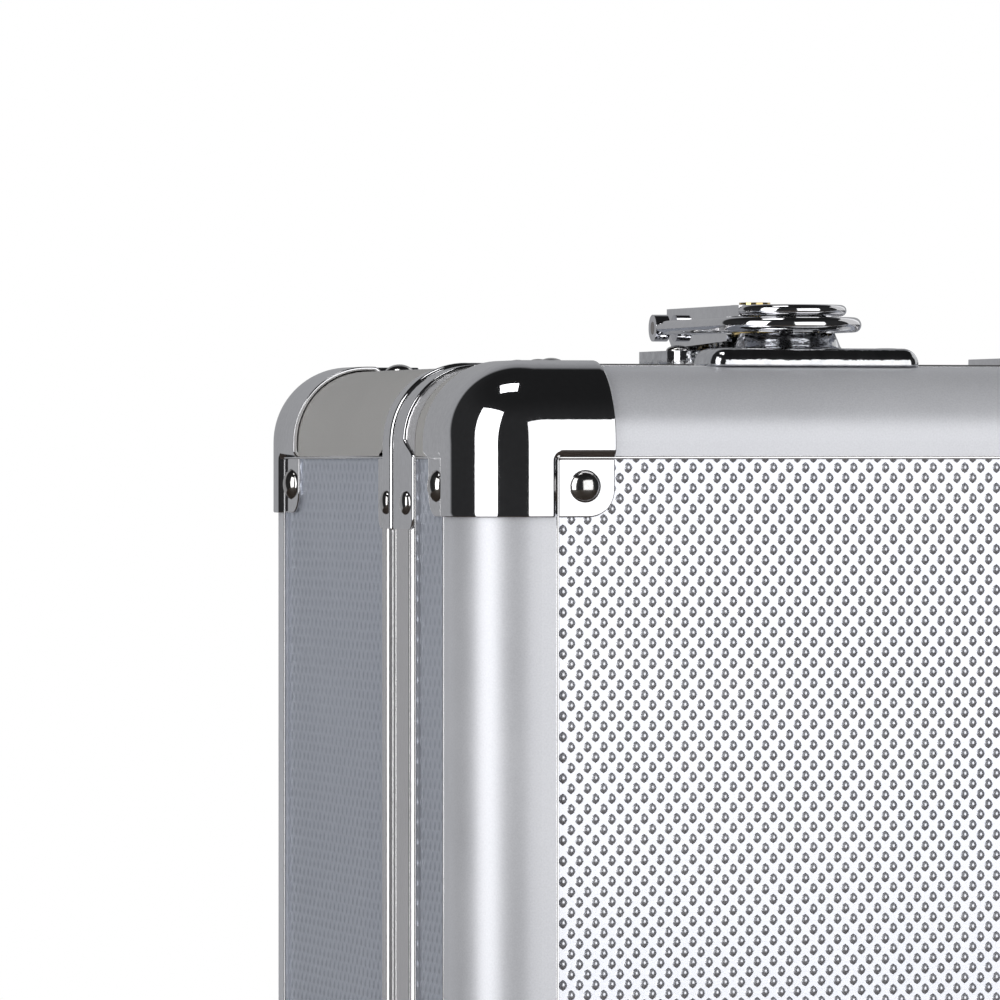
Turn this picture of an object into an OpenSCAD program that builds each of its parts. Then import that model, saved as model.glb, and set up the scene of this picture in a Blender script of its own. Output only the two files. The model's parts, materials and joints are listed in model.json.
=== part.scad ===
// Aluminium-edged carrying case for art supplies, standing on its hinge side.
// X runs left to right, -Y is the lid's outer face, +Z is up.
// The origin is on the ground under the middle of the case.

/* [Case] */
// Overall width over the edge rails
case_w = 400; // [340:5:460]
// Overall depth over the edge rails
case_d = 152; // [146:1:176]
// Overall height over the edge rails
case_h = 300; // [260:5:360]
// Depth of the lid, from its outer face to the parting line
lid_d = 51; // [50:1:56]
// Gap between the two rims at the parting line
parting_gap = 0.3; // [0.2:0.1:0.6]

/* [Edges] */
// Width of each leg of an edge rail
rail_leg = 17; // [16:0.5:19]
// Outer radius of the rounded edges
edge_r = 14; // [12.5:0.5:15]
// Sheet thickness of the rails and rims
sheet_t = 0.8; // [0.6:0.1:1]
// Thickness of the boards with their skin
board_t = 3; // [2.5:0.5:3]
// Thickness of the embossed skin on the boards
skin_t = 0.5; // [0.4:0.1:0.6]
// Width of the lid's rim
lid_rim_w = 14; // [13:0.5:15]
// Width of the base's rim
base_rim_w = 7.5; // [7:0.5:9]
// Thickness of the rim's end wall at the parting line
rim_wall_t = 1.2; // [1:0.1:1.4]
// Height of the tongue that enters the lid
tongue_h = 2.4; // [2:0.1:3]

/* [Corners] */
// Reach of a corner cap from the corner along each edge
cap_reach = 28; // [26:0.5:30]
// Thickness of the corner caps above the rails
cap_t = 1; // [0.8:0.1:1.2]
// Radius of the rounded tip of a cap's tab
cap_tip_r = 5; // [3:0.5:6]
// Reach of a rim corner from the corner along each edge
rim_corner_reach = 30.7; // [29:0.1:33]
// Width of the rim corner where it bends round the edge
rim_corner_w = 7.4; // [6.5:0.1:7.4]
// Width of the tab of a base rim corner
base_tab_w = 12.4; // [12:0.1:14]

/* [Rivets] */
// Head radius of the corner rivets
rivet_r = 3.2; // [2.8:0.1:3.4]
// Head radius of the small rivets
small_rivet_r = 2.4; // [2:0.1:2.6]
// Shank radius of every rivet
shank_r = 1.4; // [1.2:0.1:1.6]
// Distance of a corner rivet from both edges
rivet_in = 22.3; // [22:0.1:22.8]
// Distance of a rim corner rivet from the corner
rim_rivet_in = 25.5; // [25:0.1:27]

/* [Latch] */
// Distance of each latch from the side of the case
latch_in = 71; // [60:1:100]
// Height of the two riveted latch plates
plate_h = 3.4; // [3:0.1:3.6]
// Radius of the keeper's drum
drum_r = 9.6; // [9:0.1:9.8]
// Height of the drum above its plate
drum_h = 3; // [2.8:0.1:3.2]
// Distance of the drum from the lid's outer face
drum_y = 30; // [28:0.5:31]
// Radius of the middle of the bail's wire where it loops round the drum
bail_r = 12.6; // [12.2:0.1:13]
// Radius of the bail's wire
wire_r = 1.4; // [1.1:0.1:1.4]
// Radius of the lever's round end, and half the lever's width
lever_r = 10.4; // [10.1:0.1:10.6]
// Distance of the latch hinge from the lid's outer face
latch_hinge_y = 71; // [70:0.5:73]
// Distance of the lock cylinder from the lid's outer face
lock_y = 50; // [49.5:0.1:50.5]
// Radius of the lock cylinder
lock_r = 3; // [2.6:0.1:3.6]

/* [Handle] */
// Distance of the handle's hinge from the lid's outer face
handle_hinge_y = 66; // [64:1:80]
// Distance between the handle's two arms
handle_span = 104; // [90:2:130]
// Distance from the handle's hinge to the middle of its grip
handle_arm = 33; // [30:1:40]
// Width of the grip
grip_w = 22; // [18:1:26]
// Thickness of the grip
grip_t = 12; // [10:0.5:12]
// Radius of the handle's steel rod
rod_r = 2.5; // [2:0.1:3]

/* [Hinges and feet] */
// Distance of each hinge from the side of the case
hinge_in = 85; // [84:1:110]
// Length of each hinge
hinge_len = 42; // [34:1:43]
// Radius of the hinge knuckles
knuckle_r = 3; // [2.6:0.1:3]
// Radius of the hinge pins
pin_r = 1.5; // [1.2:0.1:1.7]
// Height of the feet
foot_h = 9; // [8.5:0.5:14]
// Gap between a foot and the rail and rim beside it
foot_gap = 0.4; // [0.3:0.1:1.5]
// Distance of each foot from the side of the case
foot_in = 52; // [40:1:52]

/* [Lining] */
// Thickness of the foam lining
lining_t = 2.5; // [2:0.5:4]

/* [Hidden] */
$fn = 48;

half_w = case_w / 2;
half_d = case_d / 2;
half_h = case_h / 2;
mid_z = foot_h + half_h;
lap = 0.01;
fit_gap = 0.05;
free_gap = 0.3;
play = 0.2;
post_gap = 0.1;
hole_reach = 2;
// How far cutting shapes run past what they cut
over = 1;

// Rivets: the head's height as a share of its radius, and the step and height of the set end
head_share = 0.5;
set_end = 1;

// Depths below the outer face of the rails
skin_in = sheet_t + skin_t;
board_in = sheet_t + board_t;
leg_in = board_in + sheet_t;
lining_in = leg_in + play;
tongue_in = leg_in + 2 * play;
tongue_t = 1.2;
// Boards end here, measured from the unrounded edge
seat = edge_r - play;
mitre_gap = 0.5;
rail_end = rail_leg + mitre_gap;

// Parting line positions along Y
lid_end = -half_d + lid_d - parting_gap / 2;
base_start = lid_end + parting_gap;
groove_w = 0.9;
groove_t = 0.45;
lid_grooves = [1.2, 4.6, 8.6, 12];
base_grooves = [1.4, 5.2];
// Start of a rim corner's tab beyond the rail's leg, and the rim rivets from the parting line
tab_in = 1;
lid_rim_rivet_y = lid_end - 9;
base_rim_rivet_y = base_start + 4.7;

// Latch heights above the top of the case, and sizes of its small parts
latch_hinge_z = plate_h + drum_h + play + wire_r;
lever_bottom = latch_hinge_z + wire_r + play;
lever_t = 2.1;
lever_top = lever_bottom + lever_t;
lever_end_y = drum_y - 2.5;
lever_back = 3;
lever_wall_t = 1;
lever_wall_in = 5;
lever_wall_z = plate_h + 1.6;
heel_z = plate_h + 0.7;
heel_y = 1.1;
tail_y = 2.3;
tail_z = 1.15;
latch_knuckle_r = 2.6;
knuckle_foot = 0.5;
latch_pin_r = 1.2;
pin_gap = 0.03;
latch_barrel = 2 * (bail_r + wire_r);
base_knuckle_out = lever_r - lever_wall_t - play;
drum_foot = 1;
drum_rim = 2.4;
drum_hollow = 2;
keeper_w = 41;
keeper_front = 11;
keeper_bar = 15;
keeper_neck_w = 24;
keeper_back = lid_d - 4;
keeper_corner_r = 3;
keeper_rivet_x = 15;
keeper_rivet_y = 16.4;
flush_h = 1;
latch_base_w = 32.4;
latch_base_y = lid_d + 0.5;
latch_base_len = 24.5;
latch_base_r = 4;
base_rivet_x = 13.2;
base_rivet_in = 5.5;
lock_ring = 1.6;
lock_ring_h = 0.4;
lock_face = lever_top + 0.9;
lock_slot = [1.2, 4.8, 1];
shaft_r = 1.3;
blade = [9, 2.4, 1];
blade_z = plate_h + 2.6;
staple_x = 6;
staple_t = [1.2, 1.6, 1];
staple_y = lock_y + shaft_r + play;

// Handle and hinge positions
handle_y = handle_hinge_y - half_d;
handle_z = 7;
bracket_t = 3;
bracket_w = 22;
bracket_len = 24;
bracket_plate_t = 2.2;
bracket_corner_r = 3;
bracket_ear_r = rod_r + 2.5;
rod_stub = 1;
grip_inset = 6;
grip_corner_r = 5;
bracket_x = handle_span / 2 + rod_r + free_gap;
bracket_rivet_in = 10;
bracket_rivet_y = 7;
hinge_y = lid_end + parting_gap / 2;
hinge_x = half_w - hinge_in;
hinge_z = -knuckle_r - 2 * play;
hinge_rivet_x = 13;
hinge_rivet_y = 16;
neck = [0.3, 3.6];
plate_start = 3.4;
knuckle_gap = 0.15;
leaf_t = 1.5;
leaf_len = 20;
nib_r = 4.1;
nib_w = 1.2;
knuckle_count = 3;
knuckle_len = hinge_len / knuckle_count;
nib_len = knuckle_len / 2;
foot_top = 3;
foot_taper = 1.5;
foot_y = (rail_leg + lid_end + half_d - lid_rim_w) / 2;
foot_r = foot_y - rail_leg - foot_gap;

module placed() {
    translate([0, 0, mid_z]) children();
}

// Mirrors its children when asked to
module flipped(on, way) {
    if (on) mirror(way) children();
    else children();
}

// Repeats its children in the four corners of the front view
module four_ways() {
    for (right = [false, true])
        for (top = [false, true])
            flipped(right, [1, 0, 0]) flipped(top, [0, 0, 1]) children();
}

module two_sides() {
    for (right = [false, true])
        flipped(right, [1, 0, 0]) children();
}

// Extrudes an X-Z outline from y0 to y1
module along_y(y0, y1) {
    translate([0, y1, 0]) rotate([90, 0, 0]) linear_extrude(y1 - y0) children();
}

// Extrudes a Y-Z outline from x0 to x1
module along_x(x0, x1) {
    translate([x0, 0, 0]) rotate([90, 0, 90]) linear_extrude(x1 - x0) children();
}

module box(x0, x1, y0, y1, z0, z1) {
    translate([x0, y0, z0]) cube([x1 - x0, y1 - y0, z1 - z0]);
}

// A rounded rectangle about the origin
module rounded(w, h, r) {
    square([w - 2 * r, h], center = true);
    square([w, h - 2 * r], center = true);
    for (sx = [-1, 1])
        for (sy = [-1, 1])
            translate([sx * (w / 2 - r), sy * (h / 2 - r)]) circle(r);
}

// The case's front outline, moved in by a depth
module case_outline(depth) {
    rounded(case_w - 2 * depth, case_h - 2 * depth, edge_r - depth);
}

module case_ring(depth0, depth1) {
    difference() {
        case_outline(depth0);
        case_outline(depth1);
    }
}

// The corner region of a rounded edge, its flats lying at a depth, or proud where that is negative
module edge_corner(depth, reach) {
    intersection() {
        translate([depth, depth]) square(reach - depth);
        union() {
            translate([edge_r, edge_r]) circle(edge_r - depth);
            translate([edge_r, depth]) square(reach);
            translate([depth, edge_r]) square(reach);
        }
    }
}

// Section of an edge rail: a rounded skin with a slot for each board
module rail_section() {
    difference() {
        edge_corner(0, rail_leg);
        edge_corner(sheet_t, rail_leg + over);
    }
    for (turned = [false, true])
        flipped(turned, [1, -1, 0]) {
            translate([seat - sheet_t, sheet_t]) square([sheet_t, board_t + sheet_t]);
            translate([seat - sheet_t, board_in]) square([rail_leg - seat + sheet_t, sheet_t]);
        }
}

// Rivet along -Z: its head stands on z = 0 and the shank goes down through the stack
module rivet(head_r, stack) {
    head_h = head_r * head_share;
    ball_r = (head_r * head_r + head_h * head_h) / (2 * head_h);
    rotate_extrude() {
        intersection() {
            translate([0, head_h - ball_r]) circle(ball_r, $fn = 96);
            square([head_r, head_h]);
        }
        translate([0, -stack - lap]) square([shank_r, stack + 2 * lap]);
        translate([0, -stack - sheet_t]) square([shank_r + set_end, sheet_t]);
    }
}

// Countersunk rivet along -Z, its flat head level with z = 0
module flush_rivet(stack) {
    rotate_extrude() {
        polygon([
            [0, 0],
            [small_rivet_r, 0],
            [shank_r, -flush_h],
            [shank_r, -stack - lap],
            [0, -stack - lap]
        ]);
        translate([0, -stack - sheet_t]) square([shank_r + set_end, sheet_t]);
    }
}

// Hole for a rivet, with room for its set end below the stack
module rivet_hole(stack) {
    translate([0, 0, -stack - set_end]) {
        cylinder(h = stack + set_end + hole_reach, r = shank_r + fit_gap);
        cylinder(h = set_end, r = shank_r + set_end + fit_gap);
    }
}

// The bottom left front corner, seen from the case's middle
module at_cap_corner() {
    translate([-half_w, -half_d, -half_h]) children();
}

// Turns children built on the front face to each face that meets at a corner
module on_three_faces() {
    rotate([90, 0, 0]) children();
    rotate([90, 0, 0]) rotate([0, -90, 0]) mirror([1, 0, 0]) children();
    mirror([0, 0, 1]) children();
}

module cap_rivet_places(rear) {
    four_ways()
        flipped(rear, [0, 1, 0])
            at_cap_corner()
                on_three_faces()
                    translate([rivet_in, rivet_in, 0]) children();
}

// Places on the tabs of the rim corners: one on the side wall, one on the end wall
module rim_rivet_places(y) {
    four_ways() {
        translate([-half_w, y, -half_h + rim_rivet_in]) rotate([0, -90, 0]) children();
        translate([-half_w + rim_rivet_in, y, -half_h]) rotate([180, 0, 0]) children();
    }
}

module case_rivets(rear) {
    cap_rivet_places(rear) rivet(rivet_r, board_in);
    rim_rivet_places(rear ? base_rim_rivet_y : lid_rim_rivet_y)
        translate([0, 0, cap_t]) rivet(small_rivet_r, board_in + cap_t);
}

module case_rivet_holes(rear) {
    cap_rivet_places(rear) rivet_hole(board_in);
    rim_rivet_places(rear ? base_rim_rivet_y : lid_rim_rivet_y) rivet_hole(board_in);
}

// Places of the rivets that hold the latch plates
module top_rivet_places(rear) {
    two_sides()
        for (side = [-1, 1]) {
            x = -half_w + latch_in + side * (rear ? base_rivet_x : keeper_rivet_x);
            y = rear ? latch_base_y + base_rivet_in : keeper_rivet_y;
            translate([x, y - half_d, half_h + plate_h]) children();
        }
}

module bracket_rivet_places() {
    two_sides()
        for (way = [-1, 1]) {
            x = bracket_x + bracket_t + bracket_rivet_in;
            y = handle_y + way * bracket_rivet_y;
            translate([x, y, half_h + bracket_plate_t]) children();
        }
}

module bottom_rivet_places(rear) {
    way = rear ? 1 : -1;
    y = hinge_y + way * hinge_rivet_y;
    two_sides()
        for (side = [-1, 1])
            translate([hinge_x + side * hinge_rivet_x, y, -half_h - leaf_t])
                rotate([180, 0, 0]) children();
}

module plate_rivets(rear) {
    top_rivet_places(rear)
        if (rear) rivet(small_rivet_r, board_in + plate_h);
        else flush_rivet(board_in + plate_h);
    if (rear) bracket_rivet_places() rivet(small_rivet_r, board_in + bracket_plate_t);
    bottom_rivet_places(rear) rivet(small_rivet_r, board_in + leaf_t);
}

module plate_rivet_holes(rear) {
    top_rivet_places(rear) rivet_hole(board_in + plate_h);
    if (rear) bracket_rivet_places() rivet_hole(board_in + bracket_plate_t);
    bottom_rivet_places(rear) rivet_hole(board_in + leaf_t);
}

// ---- Boards and skins ----

// A layer of the lid's face between two depths
module face_layer(depth0, depth1) {
    difference() {
        along_y(-half_d + depth0, -half_d + depth1)
            square([case_w - 2 * seat, case_h - 2 * seat], center = true);
        cap_rivet_places(false) rivet_hole(board_in);
    }
}

// A layer of the left wall
module side_layer(depth0, depth1, rear) {
    difference() {
        box(-half_w + depth0, -half_w + depth1, board_y0(rear), board_y1(rear),
            -half_h + seat, half_h - seat);
        case_rivet_holes(rear);
    }
}

// A layer of the bottom wall, or of the top wall
module end_layer(depth0, depth1, rear, top) {
    difference() {
        flipped(top, [0, 0, 1])
            box(-half_w + seat, half_w - seat, board_y0(rear), board_y1(rear),
                -half_h + depth0, -half_h + depth1);
        case_rivet_holes(rear);
        plate_rivet_holes(rear);
    }
}

module wall_skins(rear) {
    two_sides() side_layer(sheet_t, skin_in, rear);
    end_layer(sheet_t, skin_in, rear, true);
    end_layer(sheet_t, skin_in, rear, false);
}

function board_y0(rear) = rear ? base_start + rim_wall_t : -half_d + seat;
function board_y1(rear) = rear ? half_d - seat : lid_end - rim_wall_t;

module lid_front_panel() {
    color("burlywood") placed() face_layer(skin_in, board_in);
}

module lid_left_panel() {
    color("burlywood") placed() side_layer(skin_in, board_in, false);
}

module lid_right_panel() {
    color("burlywood") placed() mirror([1, 0, 0]) side_layer(skin_in, board_in, false);
}

module lid_top_panel() {
    color("burlywood") placed() end_layer(skin_in, board_in, false, true);
}

module lid_bottom_panel() {
    color("burlywood") placed() end_layer(skin_in, board_in, false, false);
}

module lid_front_skin() {
    color("whitesmoke") placed() face_layer(sheet_t, skin_in);
}

module lid_wall_skins() {
    color("silver") placed() wall_skins(false);
}

module base_back_panel() {
    color("burlywood") placed() mirror([0, 1, 0]) face_layer(skin_in, board_in);
}

module base_left_panel() {
    color("burlywood") placed() side_layer(skin_in, board_in, true);
}

module base_right_panel() {
    color("burlywood") placed() mirror([1, 0, 0]) side_layer(skin_in, board_in, true);
}

module base_top_panel() {
    color("burlywood") placed() end_layer(skin_in, board_in, true, true);
}

module base_bottom_panel() {
    color("burlywood") placed() end_layer(skin_in, board_in, true, false);
}

module base_back_skin() {
    color("whitesmoke") placed() mirror([0, 1, 0]) face_layer(sheet_t, skin_in);
}

module base_wall_skins() {
    color("silver") placed() wall_skins(true);
}

// ---- Edge rails ----

// Rail along the bottom edge of the lid's or the base's face
module level_rail(rear) {
    flipped(rear, [0, 1, 0])
        translate([0, -half_d, -half_h])
            along_x(-half_w + rail_end, half_w - rail_end) rail_section();
}

// Rail up the left edge of the lid's face
module upright_rail(rear) {
    flipped(rear, [0, 1, 0])
        translate([-half_w, -half_d, -half_h + rail_end])
            linear_extrude(case_h - 2 * rail_end) rail_section();
}

// Post along the bottom left edge, in the depth direction
module post(y0, y1) {
    translate([-half_w, 0, -half_h]) along_y(y0, y1) rail_section();
}

module lid_top_rail() {
    color("lightgray") placed()
        difference() {
            mirror([0, 0, 1]) level_rail(false);
            top_rivet_places(false) rivet_hole(board_in + plate_h);
        }
}

module lid_bottom_rail() {
    color("lightgray") placed() level_rail(false);
}

module lid_left_rail() {
    color("lightgray") placed() upright_rail(false);
}

module lid_right_rail() {
    color("lightgray") placed() mirror([1, 0, 0]) upright_rail(false);
}

module base_top_rail() {
    color("lightgray") placed() mirror([0, 0, 1]) level_rail(true);
}

module base_bottom_rail() {
    color("lightgray") placed() level_rail(true);
}

module base_left_rail() {
    color("lightgray") placed() upright_rail(true);
}

module base_right_rail() {
    color("lightgray") placed() mirror([1, 0, 0]) upright_rail(true);
}

module lid_posts() {
    color("lightgray") placed()
        four_ways() post(-half_d + rail_end, lid_end - lid_rim_w - post_gap);
}

module base_posts() {
    color("lightgray") placed()
        four_ways() post(base_start + base_rim_w + post_gap, half_d - rail_end);
}

// ---- Rims ----

// Rim around the open edge: a sheet channel over the boards with a wall at the parting line
module rim_channel(y0, y1, wall_y0, wall_y1) {
    along_y(y0, y1) case_ring(0, sheet_t);
    along_y(y0, y1) case_ring(board_in, leg_in);
    along_y(wall_y0, wall_y1) case_ring(0, leg_in);
}

module lid_rim() {
    y0 = lid_end - lid_rim_w;
    color("lightgray") placed()
        difference() {
            rim_channel(y0, lid_end, lid_end - rim_wall_t, lid_end);
            for (line = lid_grooves)
                along_y(y0 + line, y0 + line + groove_w) case_ring(-over, groove_t);
            case_rivet_holes(false);
            plate_rivet_holes(false);
        }
}

module base_rim() {
    y1 = base_start + base_rim_w;
    color("lightgray") placed()
        difference() {
            union() {
                rim_channel(base_start, y1, base_start, base_start + rim_wall_t);
                along_y(base_start, base_start + rim_wall_t) case_ring(leg_in, tongue_in + tongue_t);
                along_y(base_start - tongue_h, base_start + rim_wall_t)
                    case_ring(tongue_in, tongue_in + tongue_t);
            }
            for (line = base_grooves)
                along_y(base_start + line, base_start + line + groove_w) case_ring(-over, groove_t);
            case_rivet_holes(true);
            plate_rivet_holes(true);
        }
}

// ---- Corner caps ----

// Rounded corner of a block, its faces lying at a depth
module rounded_block(depth, reach) {
    intersection() {
        translate([depth, depth, depth]) cube(reach - depth);
        union() {
            translate([edge_r, edge_r, edge_r]) sphere(edge_r - depth);
            for (way = [0, 1, 2])
                rotate(way == 0 ? [0, 0, 0] : (way == 1 ? [90, 0, 90] : [0, -90, -90])) {
                    translate([edge_r, edge_r, edge_r]) cylinder(h = reach, r = edge_r - depth);
                    translate([edge_r, edge_r, depth]) cube(reach);
                }
        }
    }
}

// Step and tab on the front face of a cap, lying on the panel
module cap_tab() {
    tab = cap_reach - rail_leg;
    translate([rail_leg, rail_leg, 0]) {
        translate([0, 0, -sheet_t]) linear_extrude(sheet_t)
            union() {
                square([tab - cap_tip_r, tab]);
                square([tab, tab - cap_tip_r]);
                translate([tab - cap_tip_r, tab - cap_tip_r]) circle(cap_tip_r);
            }
        translate([0, 0, -sheet_t]) cube([sheet_t, tab, sheet_t + cap_t]);
        translate([0, 0, -sheet_t]) cube([tab, sheet_t, sheet_t + cap_t]);
    }
}

module corner_cap() {
    difference() {
        union() {
            difference() {
                rounded_block(-cap_t, cap_reach);
                rounded_block(0, cap_reach + over);
                on_three_faces()
                    translate([rail_leg + lap, rail_leg + lap, -sheet_t])
                        cube([cap_reach, cap_reach, sheet_t + cap_t + over]);
            }
            on_three_faces() cap_tab();
        }
        on_three_faces()
            translate([rivet_in, rivet_in, 0])
                cylinder(h = 4 * sheet_t, r = shank_r + fit_gap, center = true);
    }
}

module lid_corner_caps() {
    color("lightsteelblue") placed() four_ways() at_cap_corner() corner_cap();
}

module base_corner_caps() {
    color("lightsteelblue") placed() mirror([0, 1, 0]) four_ways() at_cap_corner() corner_cap();
}

// ---- Rim corners ----

// Outline of a strip bent round the edge, standing on the rails
module bent_strip() {
    difference() {
        edge_corner(-cap_t, rim_corner_reach);
        edge_corner(0, rim_corner_reach + over);
    }
}

// Limits a strip to the two straight tabs beyond the bend
module tab_zone(y0, y1) {
    for (turned = [false, true])
        flipped(turned, [1, 0, -1])
            box(rail_leg + tab_in, rim_corner_reach + over, y0, y1, -cap_t - over, sheet_t);
}

module lid_rim_corners() {
    color("lightsteelblue") placed()
        difference() {
            four_ways() translate([-half_w, 0, -half_h]) {
                along_y(lid_end - rim_corner_w, lid_end) bent_strip();
                intersection() {
                    along_y(lid_end - lid_rim_w + play, lid_end) bent_strip();
                    tab_zone(lid_end - lid_rim_w, lid_end);
                }
            }
            rim_rivet_places(lid_rim_rivet_y) rivet_hole(board_in);
        }
}

module base_rim_corners() {
    edge = base_start + base_rim_w;
    color("lightsteelblue") placed()
        difference() {
            four_ways() translate([-half_w, 0, -half_h]) {
                along_y(base_start, base_start + rim_corner_w) bent_strip();
                intersection() {
                    along_y(base_start, edge + sheet_t) bent_strip();
                    tab_zone(base_start, edge + sheet_t);
                }
                for (turned = [false, true])
                    flipped(turned, [1, 0, -1]) {
                        box(rail_leg + tab_in, rim_corner_reach, edge, edge + sheet_t, -cap_t, sheet_t);
                        box(rail_leg + tab_in, rim_corner_reach, edge, base_start + base_tab_w, 0, sheet_t);
                    }
            }
            rim_rivet_places(base_rim_rivet_y) rivet_hole(board_in);
        }
}

module lid_rivets() {
    color("white") placed() {
        case_rivets(false);
        plate_rivets(false);
    }
}

module base_rivets() {
    color("white") placed() {
        case_rivets(true);
        plate_rivets(true);
    }
}

// ---- Lining and feet ----

module lining(floor_y0, floor_y1, wall_y0, wall_y1) {
    along_y(wall_y0, wall_y1) case_ring(lining_in, lining_in + lining_t);
    along_y(floor_y0, floor_y1) case_outline(lining_in);
}

module lid_lining() {
    y0 = -half_d + lining_in;
    color("dimgray") placed() lining(y0, y0 + lining_t, y0, base_start - tongue_h - free_gap);
}

module base_lining() {
    y1 = half_d - lining_in;
    color("dimgray") placed() lining(y1 - lining_t, y1, base_start + rim_wall_t + post_gap, y1);
}

module feet(y) {
    two_sides()
        translate([half_w - foot_in, y, 0]) {
            cylinder(h = foot_h - foot_top, r1 = foot_r - foot_taper, r2 = foot_r);
            translate([0, 0, foot_h - foot_top]) cylinder(h = foot_top + sheet_t, r = foot_r);
        }
}

module lid_feet() {
    color("black") feet(foot_y - half_d);
}

module base_feet() {
    color("black") feet(half_d - foot_y);
}

// ---- Hinges ----

module hinge_section(way) {
    translate([0, hinge_z]) circle(knuckle_r);
    translate([way > 0 ? neck[0] : -neck[1], -leaf_t]) square([neck[1] - neck[0], leaf_t]);
}

module hinge_leaf(way, knuckles) {
    translate([0, hinge_y, -half_h])
        difference() {
            union() {
                for (k = knuckles)
                    along_x(k * knuckle_len + knuckle_gap, (k + 1) * knuckle_len - knuckle_gap)
                        hinge_section(way);
                box(0, hinge_len, way > 0 ? plate_start : -leaf_len, way > 0 ? leaf_len : -plate_start,
                    -leaf_t, 0);
            }
            translate([-over, 0, hinge_z])
                rotate([0, 90, 0]) cylinder(h = hinge_len + 2 * over, r = pin_r + fit_gap);
        }
}

module hinge_lid_leaves() {
    color("slategray") placed()
        difference() {
            two_sides() translate([hinge_x - hinge_len / 2, 0, 0]) {
                hinge_leaf(-1, [1]);
                // Stop nib that meets the base leaf when the lid is wide open
                translate([(hinge_len - nib_len) / 2, hinge_y - nib_w / 2, -half_h + hinge_z - nib_r])
                    cube([nib_len, nib_w, nib_r - pin_r - nib_w / 2]);
            }
            bottom_rivet_places(false) rivet_hole(board_in + leaf_t);
        }
}

module hinge_base_leaves() {
    color("slategray") placed()
        difference() {
            two_sides() translate([hinge_x - hinge_len / 2, 0, 0]) hinge_leaf(1, [0, 2]);
            bottom_rivet_places(true) rivet_hole(board_in + leaf_t);
        }
}

module hinge_pins() {
    color("darkgray") placed()
        two_sides()
            translate([hinge_x - hinge_len / 2, hinge_y, -half_h + hinge_z])
                rotate([0, 90, 0]) cylinder(h = hinge_len, r = pin_r);
}

// ---- Latches ----

// Latch parts are built about x = 0, with y from the lid's outer face and z from the top
module at_latch(side) {
    placed() translate([side * (half_w - latch_in), -half_d, half_h]) children();
}

// Plate under the drum, with a countersink for each rivet
module keeper() {
    difference() {
        union() {
            linear_extrude(plate_h) {
                translate([0, keeper_front + keeper_bar / 2])
                    rounded(keeper_w, keeper_bar, keeper_corner_r);
                translate([0, (keeper_front + keeper_back) / 2])
                    rounded(keeper_neck_w, keeper_back - keeper_front, keeper_corner_r);
            }
            translate([0, drum_y, plate_h - lap])
                cylinder(h = drum_foot + lap, r1 = drum_r + drum_foot, r2 = drum_r);
            translate([0, drum_y, plate_h]) cylinder(h = drum_h, r = drum_r);
        }
        translate([0, drum_y, plate_h + drum_h - drum_hollow])
            cylinder(h = 2 * drum_hollow, r = drum_r - drum_rim);
        for (side = [-1, 1])
            translate([side * keeper_rivet_x, keeper_rivet_y, 0]) {
                cylinder(h = 3 * plate_h, r = shank_r + fit_gap, center = true);
                translate([0, 0, plate_h - flush_h])
                    cylinder(h = flush_h, r1 = shank_r + fit_gap, r2 = small_rivet_r + fit_gap);
            }
    }
}

// Bore along the latch's hinge, around its pin
module latch_bore(clearance) {
    translate([-latch_barrel, latch_hinge_y, latch_hinge_z])
        rotate([0, 90, 0]) cylinder(h = 2 * latch_barrel, r = latch_pin_r + clearance);
}

module latch_base() {
    difference() {
        union() {
            linear_extrude(plate_h)
                translate([0, latch_base_y + latch_base_len / 2])
                    rounded(latch_base_w, latch_base_len, latch_base_r);
            along_x(-base_knuckle_out, base_knuckle_out) {
                translate([latch_hinge_y, latch_hinge_z]) circle(latch_knuckle_r);
                translate([latch_hinge_y - latch_knuckle_r, plate_h - lap])
                    square([latch_knuckle_r + knuckle_foot, latch_hinge_z - plate_h + lap]);
            }
            staple();
        }
        latch_bore(pin_gap);
        for (side = [-1, 1])
            translate([side * base_rivet_x, latch_base_y + base_rivet_in, 0])
                cylinder(h = 3 * plate_h, r = shank_r + fit_gap, center = true);
    }
}

// Bridge that the lock's blade turns under
module staple() {
    bar_z = blade_z + blade[2] + free_gap;
    half_t = staple_t[0] / 2;
    back = staple_y + staple_t[1];
    for (x = [-staple_x, staple_x])
        box(x - half_t, x + half_t, staple_y, back, plate_h - lap, bar_z + staple_t[2]);
    box(-staple_x, staple_x, staple_y, back, bar_z, bar_z + staple_t[2]);
}

module latch_pin() {
    translate([-latch_barrel / 2, latch_hinge_y, latch_hinge_z])
        rotate([0, 90, 0]) cylinder(h = latch_barrel, r = latch_pin_r);
}

// Wire loop that drops over the drum, with an eye at each end
module bail() {
    leg_lap = 0.3;
    // The legs start inside the loop, a hair thinner than its wire
    leg_r = wire_r - 0.02;
    difference() {
        union() {
            translate([0, drum_y, latch_hinge_z])
                rotate([0, 0, 180]) rotate_extrude(angle = 180) translate([bail_r, 0]) circle(wire_r);
            for (side = [-1, 1]) {
                translate([side * bail_r, drum_y - leg_lap, latch_hinge_z])
                    rotate([-90, 0, 0]) cylinder(h = latch_hinge_y - drum_y + leg_lap, r = leg_r);
                translate([side * bail_r - wire_r, latch_hinge_y, latch_hinge_z])
                    rotate([0, 90, 0]) cylinder(h = 2 * wire_r, r = latch_knuckle_r);
            }
        }
        latch_bore(fit_gap);
    }
}

// Side view of one wall of the lever, which turns on the pin beside the base's knuckle
module lever_wall() {
    polygon([
        [drum_y + lever_wall_in, lever_top],
        [drum_y + lever_wall_in, lever_wall_z],
        [latch_hinge_y - heel_y, heel_z],
        [latch_hinge_y + tail_y, latch_hinge_z - tail_z],
        [latch_hinge_y + tail_y, lever_top]
    ]);
}

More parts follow.
